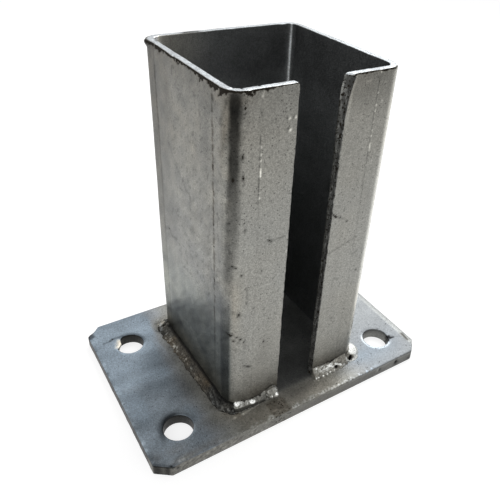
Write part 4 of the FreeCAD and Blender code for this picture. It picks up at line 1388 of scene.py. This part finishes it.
# Each bead: name, node, slot, mesh steps, its two ends along the sheet, how far its ends are rounded,
# heights and widths along it, bulge, crust, seed, paint, and its lumps and pits
BEADS = (
    ("left_bead", "weld_left_side", "weld_rusty", COARSE_BEAD, (128.5, 29.0), (4.6, 2.6),
     (2.8, 4.2, 4.8, 5.6, 6.6, 7.2, 7.6, 7.8, 6.4), (6.8, 7.9, 7.4, 6.8, 6.3, 5.6, 4.9, 4.7, 3.8),
     -0.15, 0.22, 61, paint_side_bead,
     ((125.0, 0.55, 2.0, 0.5), (121.8, 0.42, 1.5, -2.4), (118.0, 0.25, 1.6, 0.7), (120.6, 0.9, 2.2, 0.9),
      (29.9, 0.7, 1.6, -2.0), (112.0, 0.7, 1.2, 0.5), (91.5, 0.75, 1.1, 0.5), (84.5, 0.95, 1.2, 0.6),
      (54.5, 0.6, 1.2, 0.5))),
    ("front_left_bead", "weld_front_left", "weld_bright", FINE_BEAD, (31.8, 0.0), (2.0, 2.4),
     (7.6, 6.8, 5.2, 4.6, 4.6, 6.0, 7.4, 6.0), (2.6, 3.2, 3.2, 3.4, 3.2, 3.6, 4.6, 4.0),
     0.4, 0.16, 62, paint_front_left_bead,
     ((29.2, 0.3, 1.9, 0.9), (19.1, 0.4, 2.4, 1.1), (25.4, 0.35, 1.4, 0.6), (22.8, 0.4, 1.2, 0.5),
      (5.3, 0.42, 5.0, 3.6), (3.7, 0.66, 1.9, 4.7), (7.2, 0.68, 1.1, 4.2), (13.0, 0.1, 1.2, -0.8),
      (24.0, 0.0, 1.3, -1.0))),
    ("front_right_bead", "weld_front_right", "weld_bright", FINE_BEAD, (349.5, 320.6), (0.6, 2.0),
     (6.4, 6.2, 5.4, 5.2, 6.2, 7.4, 7.8), (4.8, 5.0, 5.0, 5.2, 5.0, 4.6, 4.4),
     0.25, 0.2, 63, paint_bright_bead,
     ((343.0, 0.18, 1.4, 0.7), (340.0, 0.25, 1.3, 0.6), (336.2, 0.08, 1.0, 1.5), (334.6, 0.05, 1.0, -1.5),
      (328.0, 0.25, 2.4, 0.9), (348.6, 0.92, 0.8, 1.3), (346.6, 0.92, 0.8, 1.3), (343.0, 0.94, 0.8, 1.0),
      (339.5, 0.93, 0.8, 1.3), (337.0, 0.94, 0.8, 1.3), (333.4, 0.92, 0.8, 0.5), (331.4, 0.7, 1.6, -0.8))),
    ("right_bead", "weld_right_side", "weld_bright", COARSE_BEAD, (309.0, 221.0), (2.6, 2.6),
     (7.0, 7.2, 7.2, 7.0, 7.4, 7.2), (5.4, 5.2, 5.4, 5.6, 5.4, 5.0),
     0.45, 0.2, 64, paint_bright_bead,
     ((300.0, 0.4, 1.6, 0.7), (268.0, 0.5, 1.8, 0.8), (244.0, 0.3, 1.4, 0.7))),
    ("corner_lump", "weld_right_side", "weld_bright", FINE_BEAD, (321.6, 305.5), (2.0, 3.0),
     (6.4, 6.4, 6.8, 7.2, 6.8), (3.8, 6.0, 8.2, 7.6, 5.6),
     0.6, 0.06, 65, paint_bright_bead,
     ((313.5, 0.5, 4.6, 1.2), (319.2, 0.68, 2.3, -3.8), (316.0, 0.98, 1.2, 0.5))),
    ("back_bead", "weld_back", "weld_rusty", COARSE_BEAD, (217.0, 132.0), (2.6, 2.6),
     (6.8, 7.2, 7.0, 7.2, 6.8), (5.2, 5.4, 5.6, 5.2, 5.0),
     0.45, 0.16, 66, paint_side_bead,
     ((180.0, 0.4, 1.8, 0.7), (205.0, 0.5, 1.4, 0.6))),
)


# The studio

# Half the width of the floor, in metres
FLOOR_HALF = 3.0


def area_lamp(name, place, aim, size, watts):
    """A soft rectangular lamp that faces its aim."""
    data = bpy.data.lights.new(name, "AREA")
    data.shape = "RECTANGLE"
    data.size, data.size_y = size
    data.energy = watts
    lamp = bpy.data.objects.new(name, data)
    direction = Vector(aim) - Vector(place)
    turn = direction.to_track_quat("-Z", "Y").to_matrix().to_4x4()
    lamp.matrix_world = Matrix.Translation(Vector(place)) @ turn
    bpy.context.scene.collection.objects.link(lamp)


def seen_or_mirrored(tree):
    """1 for rays from the camera, mirror rays and rays through glass, 0 for soft light."""
    path = add_node(tree, "ShaderNodeLightPath", {})
    found = math_node(tree, "MAXIMUM", path.outputs["Is Camera Ray"], path.outputs["Is Glossy Ray"])
    return math_node(tree, "MAXIMUM", found, path.outputs["Is Transmission Ray"])


def make_floor():
    """A wide pale floor just under the plate, which looks white and keeps the object's shadow."""
    mesh = bpy.data.meshes.new("floor")
    corners = [(-1, -1, 0), (1, -1, 0), (1, 1, 0), (-1, 1, 0)]
    mesh.from_pydata([Vector(corner) * FLOOR_HALF for corner in corners], [], [(0, 1, 2, 3)])
    floor = bpy.data.objects.new("floor", mesh)
    floor.location.z = -0.0002
    bpy.context.scene.collection.objects.link(floor)
    material, tree, shader = new_material("floor_white")
    set_inputs(tree, shader, {"Base Color": (0.4, 0.4, 0.4, 1), "Roughness": 0.9, "Specular IOR Level": 0.0})
    glow = add_node(tree, "ShaderNodeEmission", {"Strength": product_of(tree, seen_or_mirrored(tree), 0.76)})
    both = add_node(tree, "ShaderNodeAddShader", {0: shader.outputs[0], 1: glow.outputs[0]})
    set_inputs(tree, tree.nodes["Material Output"], {"Surface": both.outputs[0]})
    mesh.materials.append(material)


def make_world():
    """A white world that gives a little over half its strength as soft light."""
    world = bpy.data.worlds.new("studio_world")
    world.use_nodes = True
    bpy.context.scene.world = world
    tree = world.node_tree
    strength = map_node(tree, seen_or_mirrored(tree), 0.0, 1.0, 0.55, 1.0)
    set_inputs(tree, tree.nodes["Background"], {"Color": (1, 1, 1, 1), "Strength": strength})


make_camera()
make_world()
make_floor()
area_lamp("key", (0.5, 0.3, 0.9), (0, 0, 0.08), (0.6, 0.6), 6.0)
area_lamp("fill", (-0.9, -0.5, 0.7), (0, 0, 0.08), (0.8, 0.8), 3.0)

# Each steel: metal share, grain, size of specks, share of cells with one, bump height, and streaks
sheet_steel = steel_material("sheet_steel", 0.85, 0.14, 1.25, 0.22, 0.14, 0.04)
plate_steel = steel_material("plate_steel", 0.85, 0.12, 1.3, 0.2, 0.11)
rusty_steel = steel_material("rusty_steel", 0.6, 0.3, 1.4, 0.3, 0.14)
bright_steel = steel_material("bright_steel", 0.75, 0.22, 1.4, 0.2, 0.12)
make_sleeve(sheet_steel)
make_plate(plate_steel)
weld_steels = {"weld_rusty": rusty_steel, "weld_bright": bright_steel}
for name, node, slot, *form in BEADS:
    make_bead(name, node, slot, weld_steels[slot], *form)
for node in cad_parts.values():
    node.data.materials.clear()
    node.data.materials.append(plate_steel)

bpy.context.scene.view_settings.view_transform = "Standard"
